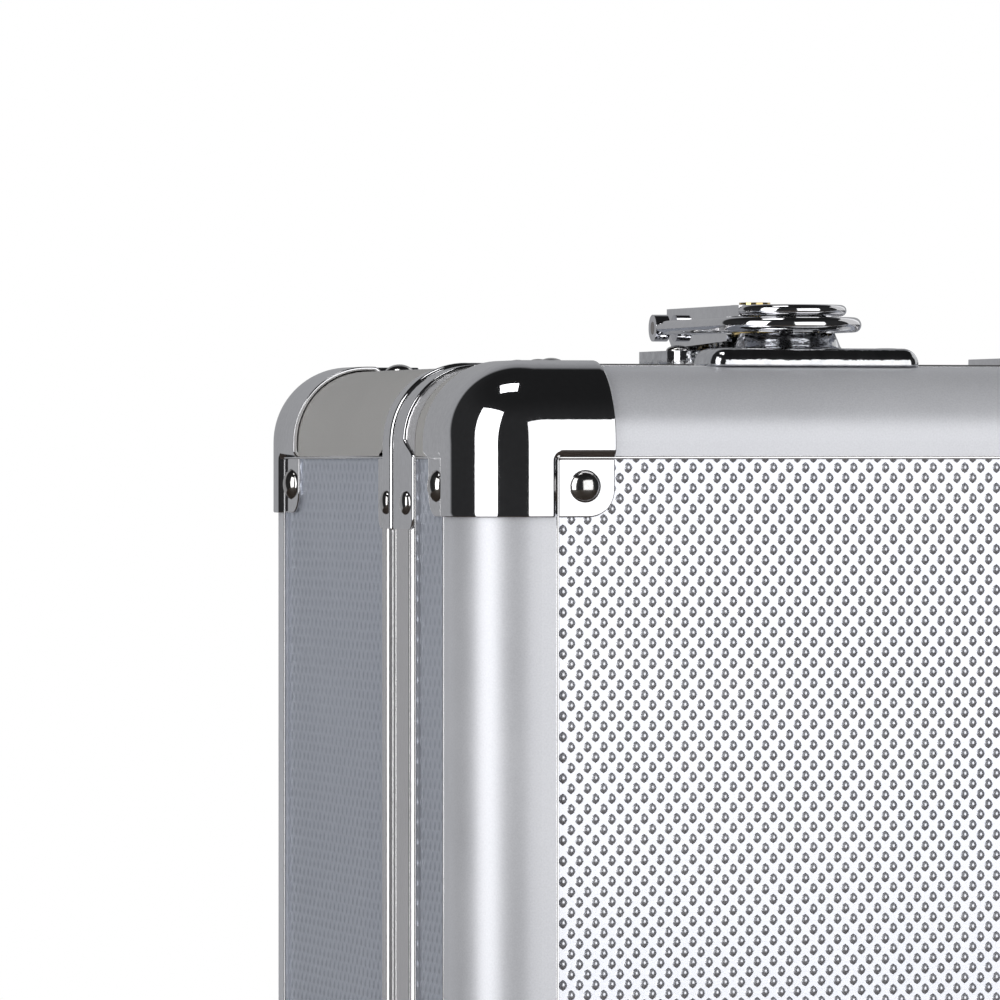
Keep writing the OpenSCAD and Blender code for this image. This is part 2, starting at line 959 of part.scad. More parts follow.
module lever() {
    rolled = lever_t / 2;
    difference() {
        union() {
            // Round end with a rolled edge
            translate([0, lever_end_y, lever_bottom])
                rotate_extrude() {
                    square([lever_r - rolled, lever_t]);
                    intersection() {
                        translate([lever_r - rolled, rolled]) circle(rolled);
                        square(lever_r);
                    }
                }
            box(-lever_r, lever_r, lever_end_y, latch_hinge_y - lever_back, lever_bottom, lever_top);
            for (side = [-1, 1])
                flipped(side > 0, [1, 0, 0])
                    along_x(-lever_r, -lever_r + lever_wall_t) lever_wall();
            translate([0, lock_y, lever_bottom])
                cylinder(h = lever_t + lock_ring_h, r = lock_r + lock_ring);
        }
        translate([0, lock_y, lever_bottom - lap])
            cylinder(h = lever_t + 2 * lock_ring_h, r = lock_r + fit_gap);
        latch_bore(fit_gap);
    }
}

// Brass cylinder whose blade turns under the staple
module lock() {
    difference() {
        translate([0, lock_y, lever_bottom]) cylinder(h = lock_face - lever_bottom, r = lock_r);
        translate([-lock_slot[0] / 2, lock_y - lock_slot[1] / 2, lock_face - lock_slot[2]])
            cube(lock_slot + [0, 0, 1]);
    }
    translate([0, lock_y, blade_z]) cylinder(h = lever_bottom - blade_z + lap, r = shaft_r);
    translate([-blade[0] / 2, lock_y - blade[1] / 2, blade_z]) cube(blade);
}

module left_keeper() {
    color("lightsteelblue") at_latch(-1) keeper();
}

module left_latch_base() {
    color("lightsteelblue") at_latch(-1) latch_base();
}

module left_bail() {
    color("lightblue") at_latch(-1) bail();
}

module left_latch_pin() {
    color("darkgray") at_latch(-1) latch_pin();
}

module left_lever() {
    color("powderblue") at_latch(-1) lever();
}

module left_lock() {
    color("gold") at_latch(-1) lock();
}

module right_keeper() {
    color("lightsteelblue") at_latch(1) keeper();
}

module right_latch_base() {
    color("lightsteelblue") at_latch(1) latch_base();
}

module right_bail() {
    color("lightblue") at_latch(1) bail();
}

module right_latch_pin() {
    color("darkgray") at_latch(1) latch_pin();
}

module right_lever() {
    color("powderblue") at_latch(1) lever();
}

module right_lock() {
    color("gold") at_latch(1) lock();
}

// ---- Handle ----

module at_handle() {
    placed() translate([0, handle_y, half_h]) children();
}

module handle_brackets() {
    color("lightsteelblue") at_handle()
        two_sides()
            difference() {
                union() {
                    translate([bracket_x + bracket_w / 2, 0, 0])
                        linear_extrude(bracket_plate_t)
                            rounded(bracket_w, bracket_len, bracket_corner_r);
                    along_x(bracket_x, bracket_x + bracket_t) {
                        translate([0, handle_z]) circle(bracket_ear_r);
                        translate([-bracket_ear_r, bracket_plate_t - lap])
                            square([2 * bracket_ear_r, handle_z - bracket_plate_t + lap]);
                    }
                }
                translate([bracket_x - over, 0, handle_z])
                    rotate([0, 90, 0]) cylinder(h = bracket_t + 2 * over, r = rod_r + fit_gap);
                for (way = [-1, 1])
                    translate([bracket_x + bracket_t + bracket_rivet_in, way * bracket_rivet_y, 0])
                        cylinder(h = 3 * bracket_plate_t, r = shank_r + fit_gap, center = true);
            }
}

module handle_rod() {
    half = handle_span / 2;
    color("darkgray") at_handle() translate([0, 0, handle_z]) {
        translate([-half, handle_arm, 0]) rotate([0, 90, 0]) cylinder(h = handle_span, r = rod_r);
        two_sides() {
            translate([half, 0, 0]) rotate([-90, 0, 0]) cylinder(h = handle_arm, r = rod_r);
            translate([half, 0, 0]) rotate([0, 90, 0])
                cylinder(h = rod_r + free_gap + bracket_t + rod_stub, r = rod_r);
            translate([half, 0, 0]) sphere(rod_r);
            translate([half, handle_arm, 0]) sphere(rod_r);
        }
    }
}

module handle_grip() {
    half = handle_span / 2 - grip_inset;
    color("dimgray") at_handle()
        difference() {
            along_x(-half, half) translate([handle_arm, handle_z]) rounded(grip_w, grip_t, grip_corner_r);
            translate([-half - over, handle_arm, handle_z])
                rotate([0, 90, 0]) cylinder(h = 2 * (half + over), r = rod_r + fit_gap);
        }
}

lid_front_panel();
lid_left_panel();
lid_right_panel();
lid_top_panel();
lid_bottom_panel();
lid_front_skin();
lid_wall_skins();
lid_top_rail();
lid_bottom_rail();
lid_left_rail();
lid_right_rail();
lid_posts();
lid_rim();
lid_corner_caps();
lid_rim_corners();
lid_rivets();
lid_lining();
lid_feet();
base_back_panel();
base_left_panel();
base_right_panel();
base_top_panel();
base_bottom_panel();
base_back_skin();
base_wall_skins();
base_top_rail();
base_bottom_rail();
base_left_rail();
base_right_rail();
base_posts();
base_rim();
base_corner_caps();
base_rim_corners();
base_rivets();
base_lining();
base_feet();
hinge_lid_leaves();
hinge_base_leaves();
hinge_pins();
left_keeper();
left_latch_base();
left_latch_pin();
left_bail();
left_lever();
left_lock();
right_keeper();
right_latch_base();
right_latch_pin();
right_bail();
right_lever();
right_lock();
handle_brackets();
handle_rod();
handle_grip();
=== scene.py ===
"""Dresses an aluminium-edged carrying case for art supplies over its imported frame.

The case stands on its hinge side. Every length is in metres in the frame's own axes: X runs left to
right, -Y is the lid's outer face and Z points up.
"""
from __future__ import annotations

import json
import logging
import math
from dataclasses import dataclass, field
from enum import Enum
from itertools import product
from typing import Callable, Iterable, Sequence

import bmesh
import bpy
from mathutils import Matrix, Vector

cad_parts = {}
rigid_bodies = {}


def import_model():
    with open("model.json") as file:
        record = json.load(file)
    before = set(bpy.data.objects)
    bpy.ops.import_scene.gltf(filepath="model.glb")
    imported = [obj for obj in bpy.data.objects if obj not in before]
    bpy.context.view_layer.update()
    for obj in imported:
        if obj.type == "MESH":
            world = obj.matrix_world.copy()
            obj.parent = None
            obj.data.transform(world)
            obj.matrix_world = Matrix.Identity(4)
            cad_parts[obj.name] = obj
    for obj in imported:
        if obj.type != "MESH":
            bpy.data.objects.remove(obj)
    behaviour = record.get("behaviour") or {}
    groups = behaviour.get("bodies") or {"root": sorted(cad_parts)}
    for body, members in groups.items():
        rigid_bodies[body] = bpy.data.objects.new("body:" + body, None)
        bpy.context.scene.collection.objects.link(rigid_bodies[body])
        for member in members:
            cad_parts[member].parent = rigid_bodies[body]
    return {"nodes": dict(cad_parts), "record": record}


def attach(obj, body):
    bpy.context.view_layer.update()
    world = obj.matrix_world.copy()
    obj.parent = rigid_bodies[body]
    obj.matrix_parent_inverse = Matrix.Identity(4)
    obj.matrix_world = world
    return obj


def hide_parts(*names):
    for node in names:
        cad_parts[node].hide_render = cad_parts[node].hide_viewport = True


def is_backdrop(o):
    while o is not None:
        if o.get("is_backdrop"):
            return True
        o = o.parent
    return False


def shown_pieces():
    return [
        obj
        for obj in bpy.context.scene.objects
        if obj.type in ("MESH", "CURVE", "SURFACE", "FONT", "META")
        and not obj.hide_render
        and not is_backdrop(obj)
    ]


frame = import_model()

LOG = logging.getLogger("case")

MM = 0.001
HALF_W = 200 * MM
HALF_D = 76 * MM
FOOT_H = 9 * MM
CASE_H = 300 * MM
TOP = FOOT_H + CASE_H
MID_Z = FOOT_H + CASE_H / 2
HALF_H = CASE_H / 2
EDGE_R = 14 * MM
RAIL_LEG = 17 * MM
SHEET_T = 0.8 * MM
PARTING = -25 * MM
LID_END = PARTING - 0.15 * MM
BASE_START = PARTING + 0.15 * MM
LID_RIM_W = 14 * MM
BASE_RIM_W = 7.5 * MM
LATCH_X = 129 * MM
DRUM_IN = 30 * MM
SIGNS = tuple(product((-1, 1), repeat=2))


class Shell(Enum):
    """The two halves of the case, by the name of the body that each one rides on."""

    LID = "lid"
    BASE = "base"


# ---------------------------------------------------------------- finishes


class NodeBench:
    """Short calls for wiring a node tree."""

    def __init__(self, tree: bpy.types.NodeTree) -> None:
        """Keeps the tree that the calls work on."""
        self.tree = tree

    def feed(self, target: bpy.types.NodeSocket, source: object) -> None:
        """Joins an output to an input, or sets the input where the source is a plain value."""
        if isinstance(source, bpy.types.NodeSocket):
            self.tree.links.new(source, target)
        else:
            target.default_value = source

    def add(self, kind: str, feeds: dict[str | int, object] | None = None,
            **settings: object) -> bpy.types.Node:
        """Adds a node.

        Args:
            kind: the node's type name.
            feeds: a socket or a plain value for each input, by the input's name or place.
            settings: properties to set on the node.

        Returns:
            The new node.
        """
        made = self.tree.nodes.new(kind)
        for name, value in settings.items():
            setattr(made, name, value)
        for name, source in (feeds or {}).items():
            self.feed(made.inputs[name], source)
        return made

    def math(self, operation: str, *operands: object) -> bpy.types.NodeSocket:
        """Adds a Math node on sockets or numbers and gives its result's socket."""
        return self.add("ShaderNodeMath", dict(enumerate(operands)), operation=operation).outputs[0]


@dataclass(frozen=True)
class Finish:
    """A surface finish with fine grain, soft blotches and a light bump.

    Attributes:
        name: the material's name.
        dark: the colour of the darker blotches.
        light: the colour of the lighter blotches.
        metallic: 0 for plastics and foam, 1 for bare metal.
        rough_low: the lowest roughness.
        rough_high: the highest roughness.
        blotch: blotches per metre.
        grain: grains per metre.
        stretch: how the grain is stretched along X, Y and Z.
        bump: the depth of the grain in metres.
    """

    name: str
    dark: tuple[float, float, float]
    light: tuple[float, float, float]
    metallic: float = 1.0
    rough_low: float = 0.3
    rough_high: float = 0.4
    blotch: float = 40.0
    grain: float = 2500.0
    stretch: tuple[float, float, float] = (1.0, 1.0, 1.0)
    bump: float = 0.00002

    def material(self) -> bpy.types.Material:
        """Builds the material, or finds it where it is already built.

        Returns:
            The material.
        """
        ready = bpy.data.materials.get(self.name)
        if ready:
            return ready
        made = bpy.data.materials.new(self.name)
        made.use_nodes = True
        made.diffuse_color = (*self.light, 1.0)
        bench = NodeBench(made.node_tree)
        place = bench.add("ShaderNodeTexCoord").outputs["Object"]
        mapping = bench.add("ShaderNodeMapping", {"Vector": place, "Scale": self.stretch})
        blotches = bench.add("ShaderNodeTexNoise", {"Vector": place, "Scale": self.blotch, "Detail": 4.0})
        grains = bench.add("ShaderNodeTexNoise", {"Vector": mapping.outputs["Vector"], "Scale": self.grain,
                                                  "Detail": 3.0})
        total = bench.math("ADD", bench.math("MULTIPLY", grains.outputs["Fac"], 0.5),
                           bench.math("MULTIPLY", blotches.outputs["Fac"], 0.5))
        ramp = bench.add("ShaderNodeValToRGB", {"Fac": total})
        for stop, position, colour in zip(ramp.color_ramp.elements, (0.38, 0.62), (self.dark, self.light)):
            stop.position = position
            stop.color = (*colour, 1.0)
        spread = bench.add("ShaderNodeMapRange", {"Value": total, "From Min": 0.3, "From Max": 0.7,
                                                  "To Min": self.rough_low, "To Max": self.rough_high})
        bump = bench.add("ShaderNodeBump", {"Strength": 1.0, "Distance": self.bump,
                                            "Height": grains.outputs["Fac"]})
        shader = made.node_tree.nodes["Principled BSDF"]
        for name, source in (("Metallic", self.metallic), ("Base Color", ramp.outputs["Color"]),
                             ("Roughness", spread.outputs["Result"]), ("Normal", bump.outputs["Normal"])):
            bench.feed(shader.inputs[name], source)
        return made


CHROME = Finish("polished_chrome", (0.80, 0.80, 0.82), (0.88, 0.88, 0.90), 1.0, 0.03, 0.07, 60, 900,
                bump=0.000002)
CAST_CHROME = Finish("cast_chrome", (0.62, 0.63, 0.65), (0.80, 0.81, 0.83), 1.0, 0.05, 0.14, 300, 480,
                     bump=0.00012)
RIVET_CHROME = Finish("rivet_chrome", (0.62, 0.61, 0.60), (0.78, 0.77, 0.76), 1.0, 0.08, 0.18, 90, 1500,
                      bump=0.000004)
SATIN = Finish("satin_anodised", (0.74, 0.75, 0.79), (0.84, 0.85, 0.89), 0.45, 0.36, 0.45, 30, 3200,
               bump=0.000005)
POST_SATIN = Finish("post_anodised", (0.62, 0.61, 0.59), (0.68, 0.67, 0.65), 0.55, 0.42, 0.52, 30, 3200,
                    bump=0.000005)
RIM_SATIN = Finish("rim_anodised", (0.72, 0.71, 0.72), (0.82, 0.81, 0.82), 0.85, 0.14, 0.22, 30, 2600,
                   bump=0.000004)
LIP_METAL = Finish("rolled_lip", (0.84, 0.84, 0.86), (0.94, 0.94, 0.95), 1.0, 0.08, 0.16, 60, 1800,
                   bump=0.000004)
# The bluish tint is a painted cool reflection; the brightness is the aluminium skin's own
FACE_SKIN = Finish("bright_embossed_skin", (0.82, 0.84, 0.91), (0.92, 0.93, 0.98), 0.85, 0.25, 0.35, 25,
                   2200, bump=0.00001)
# A darker, bluer copy of the face skin: painted shade for the side walls, plus a painted cool reflection
WALL_SKIN_PAINTED_SHADE = Finish("wall_skin_painted_shade", (0.63, 0.67, 0.76), (0.70, 0.74, 0.83), 0.7, 0.34, 0.44, 25,
                   2200, bump=0.00001)
BOARD = Finish("raw_fibreboard", (0.28, 0.17, 0.09), (0.42, 0.28, 0.17), 0.0, 0.75, 0.95, 120, 1800,
               (1, 1, 4), 0.00008)
PLATED = Finish("plated_steel", (0.58, 0.58, 0.60), (0.74, 0.74, 0.76), 1.0, 0.14, 0.26, 70, 2000,
                (4, 1, 1), 0.000006)
TURNED = Finish("turned_steel", (0.30, 0.27, 0.25), (0.46, 0.43, 0.41), 1.0, 0.22, 0.36, 80, 2400,
                (0.2, 6, 6), 0.00001)
BRASS = Finish("lock_brass", (0.62, 0.42, 0.14), (0.83, 0.62, 0.26), 1.0, 0.12, 0.24, 150, 2600,
               bump=0.000008)
GRIP = Finish("moulded_grip", (0.012, 0.012, 0.013), (0.03, 0.03, 0.032), 0.0, 0.42, 0.6, 90, 2600,
              bump=0.00006)
FOOT = Finish("moulded_foot", (0.012, 0.012, 0.012), (0.028, 0.028, 0.028), 0.0, 0.55, 0.75, 120, 2200,
              bump=0.00006)
FOAM = Finish("lining_foam", (0.012, 0.012, 0.014), (0.04, 0.04, 0.045), 0.0, 0.85, 1.0, 160, 1400,
              bump=0.0003)

NODE_FINISH: dict[str, Finish] = {
    "_panel": BOARD, "lid_front_skin": FACE_SKIN, "base_back_skin": FACE_SKIN, "_wall_skins": WALL_SKIN_PAINTED_SHADE,
    "_rail": SATIN, "_posts": POST_SATIN, "_rim": RIM_SATIN, "_corner_caps": CHROME,
    "_rim_corners": CHROME, "_rivets": RIVET_CHROME, "_lining": FOAM, "_feet": FOOT,
    "hinge_lid_leaves": PLATED, "hinge_base_leaves": PLATED, "hinge_pins": TURNED, "_keeper": CAST_CHROME,
    "_latch_base": CAST_CHROME, "_latch_pin": TURNED, "_bail": CHROME, "_lever": CHROME, "_lock": BRASS,
    "handle_brackets": CHROME, "handle_rod": CHROME, "handle_grip": GRIP,
}


def finish_of(node: str) -> Finish:
    """Finds a node's finish by the node's whole name or its ending."""
    return next(made for ending, made in NODE_FINISH.items() if node.endswith(ending))


# ---------------------------------------------------------------- mesh helpers

Way = Callable[[Vector], Vector]


def flip(x: bool, z: bool, y: bool = False) -> Way:
    """Makes a mirroring about the middle of the case.

    Args:
        x: whether left and right change places.
        z: whether top and bottom change places.
        y: whether front and back change places.

    Returns:
        A function that moves a point.
    """
    def move(p: Vector) -> Vector:
        """Mirrors one point."""
        return Vector((-p.x if x else p.x, -p.y if y else p.y, 2 * MID_Z - p.z if z else p.z))
    return move


def add_object(name: str, data: bpy.types.ID) -> bpy.types.Object:
    """Adds an object to the scene.

    Args:
        name: the object's name.
        data: its mesh, lamp or camera.

    Returns:
        The object.
    """
    made = bpy.data.objects.new(name, data)
    bpy.context.scene.collection.objects.link(made)
    return made


def weld(mesh: bpy.types.Mesh, near: float = 1e-6, flatten: float = 0.0) -> None:
    """Joins a mesh's doubled points and turns its faces outward.

    Args:
        mesh: the mesh.
        near: how close points lie that are joined.
        flatten: the angle in degrees below which neighbouring faces become one, or 0.
    """
    work = bmesh.new()
    work.from_mesh(mesh)
    bmesh.ops.remove_doubles(work, verts=work.verts, dist=near)
    if flatten:
        bmesh.ops.dissolve_limit(work, angle_limit=math.radians(flatten), verts=work.verts, edges=work.edges)
    bmesh.ops.recalc_face_normals(work, faces=work.faces)
    work.to_mesh(mesh)
    work.free()


class Sheet:
    """A mesh under construction, made of grids, strips and lathed forms."""

    def __init__(self) -> None:
        """Starts empty."""
        self.verts: list[Vector] = []
        self.faces: list[tuple[int, ...]] = []

    def grid(self, rows: Sequence[Sequence[Vector]], closed: bool = False) -> None:
        """Adds a grid of quads.

        Args:
            rows: the points, row by row.
            closed: whether each row closes on itself.
        """
        start = len(self.verts)
        width = len(rows[0])
        for row in rows:
            self.verts.extend(row)
        for r in range(len(rows) - 1):
            for c in range(width if closed else width - 1):
                n = (c + 1) % width
                self.faces.append((start + r * width + c, start + r * width + n,
                                   start + (r + 1) * width + n, start + (r + 1) * width + c))

    def close_ends(self, count: int) -> None:
        """Closes the first and the last row of a closed grid with count points in a row."""
        last = len(self.verts) - count
        self.faces += [tuple(range(count - 1, -1, -1)), tuple(range(last, last + count))]

    def add(self, other: "Sheet", way: Way = Vector) -> None:
        """Adds a copy of another sheet.

        Args:
            other: the sheet to copy.
            way: what moves each of its points.
        """
        start = len(self.verts)
        self.verts.extend(way(p) for p in other.verts)
        self.faces.extend(tuple(start + i for i in face) for face in other.faces)

    def repeat(self, ways: Iterable[Way]) -> "Sheet":
        """Gives a new sheet that holds a copy of this one for each mirroring."""
        made = Sheet()
        for way in ways:
            made.add(self, way)
        return made

    def to_object(self, name: str, finish: Finish, smooth: float = 35.0) -> bpy.types.Object:
        """Makes the Blender object.

        Args:
            name: the piece's name.
            finish: its finish.
            smooth: the angle in degrees below which edges are smooth.

        Returns:
            The object, with its normals pointing out.
        """
        mesh = bpy.data.meshes.new(name)
        mesh.from_pydata([tuple(p) for p in self.verts], [], self.faces)
        weld(mesh)
        made = add_object(name, mesh)
        mesh.materials.append(finish.material())
        shade(made, smooth)
        return made


def shade(piece: bpy.types.Object, angle: float) -> None:
    """Shades a mesh smooth, apart from its sharp edges.

    Args:
        piece: the mesh object.
        angle: the angle in degrees above which an edge is sharp.
    """
    mesh = piece.data
    mesh.polygons.foreach_set("use_smooth", [True] * len(mesh.polygons))
    work = bmesh.new()
    work.from_mesh(mesh)
    limit = math.radians(angle)
    for edge in work.edges:
        edge.smooth = len(edge.link_faces) == 2 and edge.calc_face_angle(0.0) < limit
    work.to_mesh(mesh)
    work.free()


def settle(piece: bpy.types.Object) -> bpy.types.Object:
    """Turns a piece with live modifiers into a plain mesh.

    Args:
        piece: the piece.

    Returns:
        The same piece.
    """
    graph = bpy.context.evaluated_depsgraph_get()
    made = bpy.data.meshes.new_from_object(piece.evaluated_get(graph), depsgraph=graph)
    piece.modifiers.clear()
    piece.data = made
    return piece


def round_edges(piece: bpy.types.Object, width: float, segments: int, angle: float) -> None:
    """Gives a piece's sharp edges a live rounding.

    Args:
        piece: the piece.
        width: the width of the rounding.
        segments: its steps.
        angle: the angle in degrees above which an edge is rounded.
    """
    edge = piece.modifiers.new("edge", "BEVEL")
    edge.width = width
    edge.segments = segments
    edge.limit_method = "ANGLE"
    edge.angle_limit = math.radians(angle)
    edge.use_clamp_overlap = True


def thicken(piece: bpy.types.Object, thickness: float, bevel: float = 0.0) -> None:
    """Gives a one-sided sheet its wall and rounds the wall's edges.

    Args:
        piece: the sheet.
        thickness: the wall, grown to the inside.
        bevel: the width of the rounding.
    """
    wall = piece.modifiers.new("wall", "SOLIDIFY")
    wall.thickness = thickness
    wall.offset = -1.0
    wall.use_even_offset = True
    if bevel:
        round_edges(piece, bevel, 3, 50)
    shade(settle(piece), 40)


def softened(node: str, width: float) -> bpy.types.Object:
    """Copies a node's mesh and rounds its edges, to stand for the node.

    Args:
        node: the node's name.
        width: the width of the rounding.

    Returns:
        The new piece.
    """
    mesh = frame["nodes"][node].data.copy()
    weld(mesh, 2e-6, 0.8)
    made = add_object(node + "_dressed", mesh)
    mesh.materials.clear()
    mesh.materials.append(finish_of(node).material())
    round_edges(made, width, 3, 42)
    shade(settle(made), 40)
    return made


FOUR_WAYS = [flip(x, z) for x in (False, True) for z in (False, True)]
FOUR_WAYS_BACK = [flip(x, z, True) for x in (False, True) for z in (False, True)]


def smooth_step(low: float, high: float, value: float) -> float:
    """Eases from 0 to 1 between two values."""
    t = min(max((value - low) / (high - low), 0.0), 1.0)
    return t * t * (3 - 2 * t)


def spaced(*stops: tuple[float, int]) -> list[float]:
    """Lists values from stop to stop.

    Args:
        stops: pairs of a value and the number of steps that lead up to it.

    Returns:
        The values, in order.
    """
    values = [stops[0][0]]
    for (start, _), (end, steps) in zip(stops, stops[1:]):
        values += [start + (end - start) * i / steps for i in range(1, steps + 1)]
    return values


# ---------------------------------------------------------------- embossed skins


class DomeTree:
    """A Geometry Nodes tree that sets a dome on every point of a mesh.

    Attributes:
        tree: the tree.
        ids: the identifier of each input, by the input's name.
        x: a dome point's place across, on a dome of radius 1.
        y: its place upward.
        radius: its distance from the dome's middle.
    """

    def __init__(self, name: str, inputs: dict[str, str], output: str) -> None:
        """Opens the tree.

        Args:
            name: the tree's name.
            inputs: the kind of each input, by the input's name.
            output: the output's name.
        """
        self.tree = bpy.data.node_groups.new(name, "GeometryNodeTree")
        self.ids: dict[str, str] = {}
        for label, kind in inputs.items():
            socket = self.tree.interface.new_socket(label, in_out="INPUT", socket_type="NodeSocket" + kind)
            self.ids[label] = socket.identifier
        self.tree.interface.new_socket(output, in_out="OUTPUT", socket_type="NodeSocketGeometry")
        bench = self.bench = NodeBench(self.tree)
        self.given = bench.add("NodeGroupInput").outputs
        self.result = bench.add("NodeGroupOutput").inputs[0]
        parts = bench.add("ShaderNodeSeparateXYZ", {0: bench.add("GeometryNodeInputPosition").outputs[0]})
        self.x, self.y = parts.outputs["X"], parts.outputs["Y"]
        flat = bench.add("ShaderNodeCombineXYZ", {"X": self.x, "Y": self.y})
        length = bench.add("ShaderNodeVectorMath", {0: flat.outputs[0]}, operation="LENGTH")
        self.radius = length.outputs["Value"]

    def set_domes(self, points: bpy.types.NodeSocket, sides: object, rings: object,
                  shape: Sequence[bpy.types.NodeSocket],
                  turned: bpy.types.NodeSocket | None = None) -> None:
        """Bends a cone of radius 1 into a dome and sets it on the points.

        Args:
            points: the mesh whose points get a dome.
            sides: the cone's sides.
            rings: the rings up its height.
            shape: the bent cone's X, Y and Z.
            turned: each dome's rotation, where it has one.
        """
        bench = self.bench
        cone = bench.add("GeometryNodeMeshCone", {
            "Vertices": sides, "Side Segments": rings, "Radius Top": 0.0, "Radius Bottom": 1.0,
            "Depth": 1.0}, fill_type="NONE")
        shaped = bench.add("ShaderNodeCombineXYZ", dict(enumerate(shape)))
        dome = bench.add("GeometryNodeSetPosition", {"Geometry": cone.outputs["Mesh"],
                                                     "Position": shaped.outputs[0]})
        soft = bench.add("GeometryNodeSetShadeSmooth", {0: dome.outputs[0]})
        feeds = {"Points": points, "Instance": soft.outputs[0]}
        if turned is not None:
            feeds["Rotation"] = turned
        placed = bench.add("GeometryNodeInstanceOnPoints", feeds)
        real = bench.add("GeometryNodeRealizeInstances", {0: placed.outputs[0]})
        painted = bench.add("GeometryNodeSetMaterial", {"Geometry": real.outputs[0],
                                                        "Material": self.given["Finish"]})
        bench.feed(self.result, painted.outputs[0])


class StudTree(DomeTree):
    """The tree that lays staggered studs over a flat patch."""

    def __init__(self) -> None:
        """Builds the tree."""
        super().__init__("stud_field", {
            "Columns": "Int", "Rows": "Int", "Pitch across": "Float", "Pitch up": "Float",
            "Stud width": "Float", "Stud height": "Float", "Stud rise": "Float", "Waist": "Float",
            "Sides": "Int", "Rings": "Int", "Finish": "Material"}, "Studs")
        bench, given = self.bench, self.given
        feeds = {}
        for axis, count, pitch in (("X", "Columns", "Pitch across"), ("Y", "Rows", "Pitch up")):
            steps = bench.math("SUBTRACT", given[count], 1.0)
            feeds["Vertices " + axis] = given[count]
            feeds["Size " + axis] = bench.math("MULTIPLY", steps, given[pitch])
        field_grid = bench.add("GeometryNodeMeshGrid", feeds)
        row = bench.math("MODULO", bench.add("GeometryNodeInputIndex").outputs[0], given["Rows"])
        odd = bench.math("MODULO", row, 2.0)
        shift = bench.math("MULTIPLY", bench.math("SUBTRACT", odd, 0.5),
                           bench.math("MULTIPLY", given["Pitch across"], 0.5))
        offset = bench.add("ShaderNodeCombineXYZ", {"X": shift})
        moved = bench.add("GeometryNodeSetPosition", {"Geometry": field_grid.outputs["Mesh"],
                                                      "Offset": offset.outputs[0]})
        dome = bench.math("SUBTRACT", 1.0, bench.math("POWER", self.radius, 2.4))
        # A factor that draws the round outline in between its four tips
        product_xy = bench.math("MULTIPLY", self.x, self.y)
        squared = bench.math("POWER", bench.math("MAXIMUM", self.radius, 0.001), 2.0)
        ratio = bench.math("POWER", bench.math("ABSOLUTE", bench.math("DIVIDE", product_xy, squared)), 2.0)
        waist = bench.math("SUBTRACT", 1.0, bench.math("MULTIPLY", ratio, given["Waist"]))
        across = bench.math("MULTIPLY", self.x, given["Stud width"])
        upward = bench.math("MULTIPLY", self.y, given["Stud height"])
        self.set_domes(moved.outputs[0], given["Sides"], given["Rings"],
                       (bench.math("MULTIPLY", across, waist), bench.math("MULTIPLY", upward, waist),
                        bench.math("MULTIPLY", dome, given["Stud rise"])))


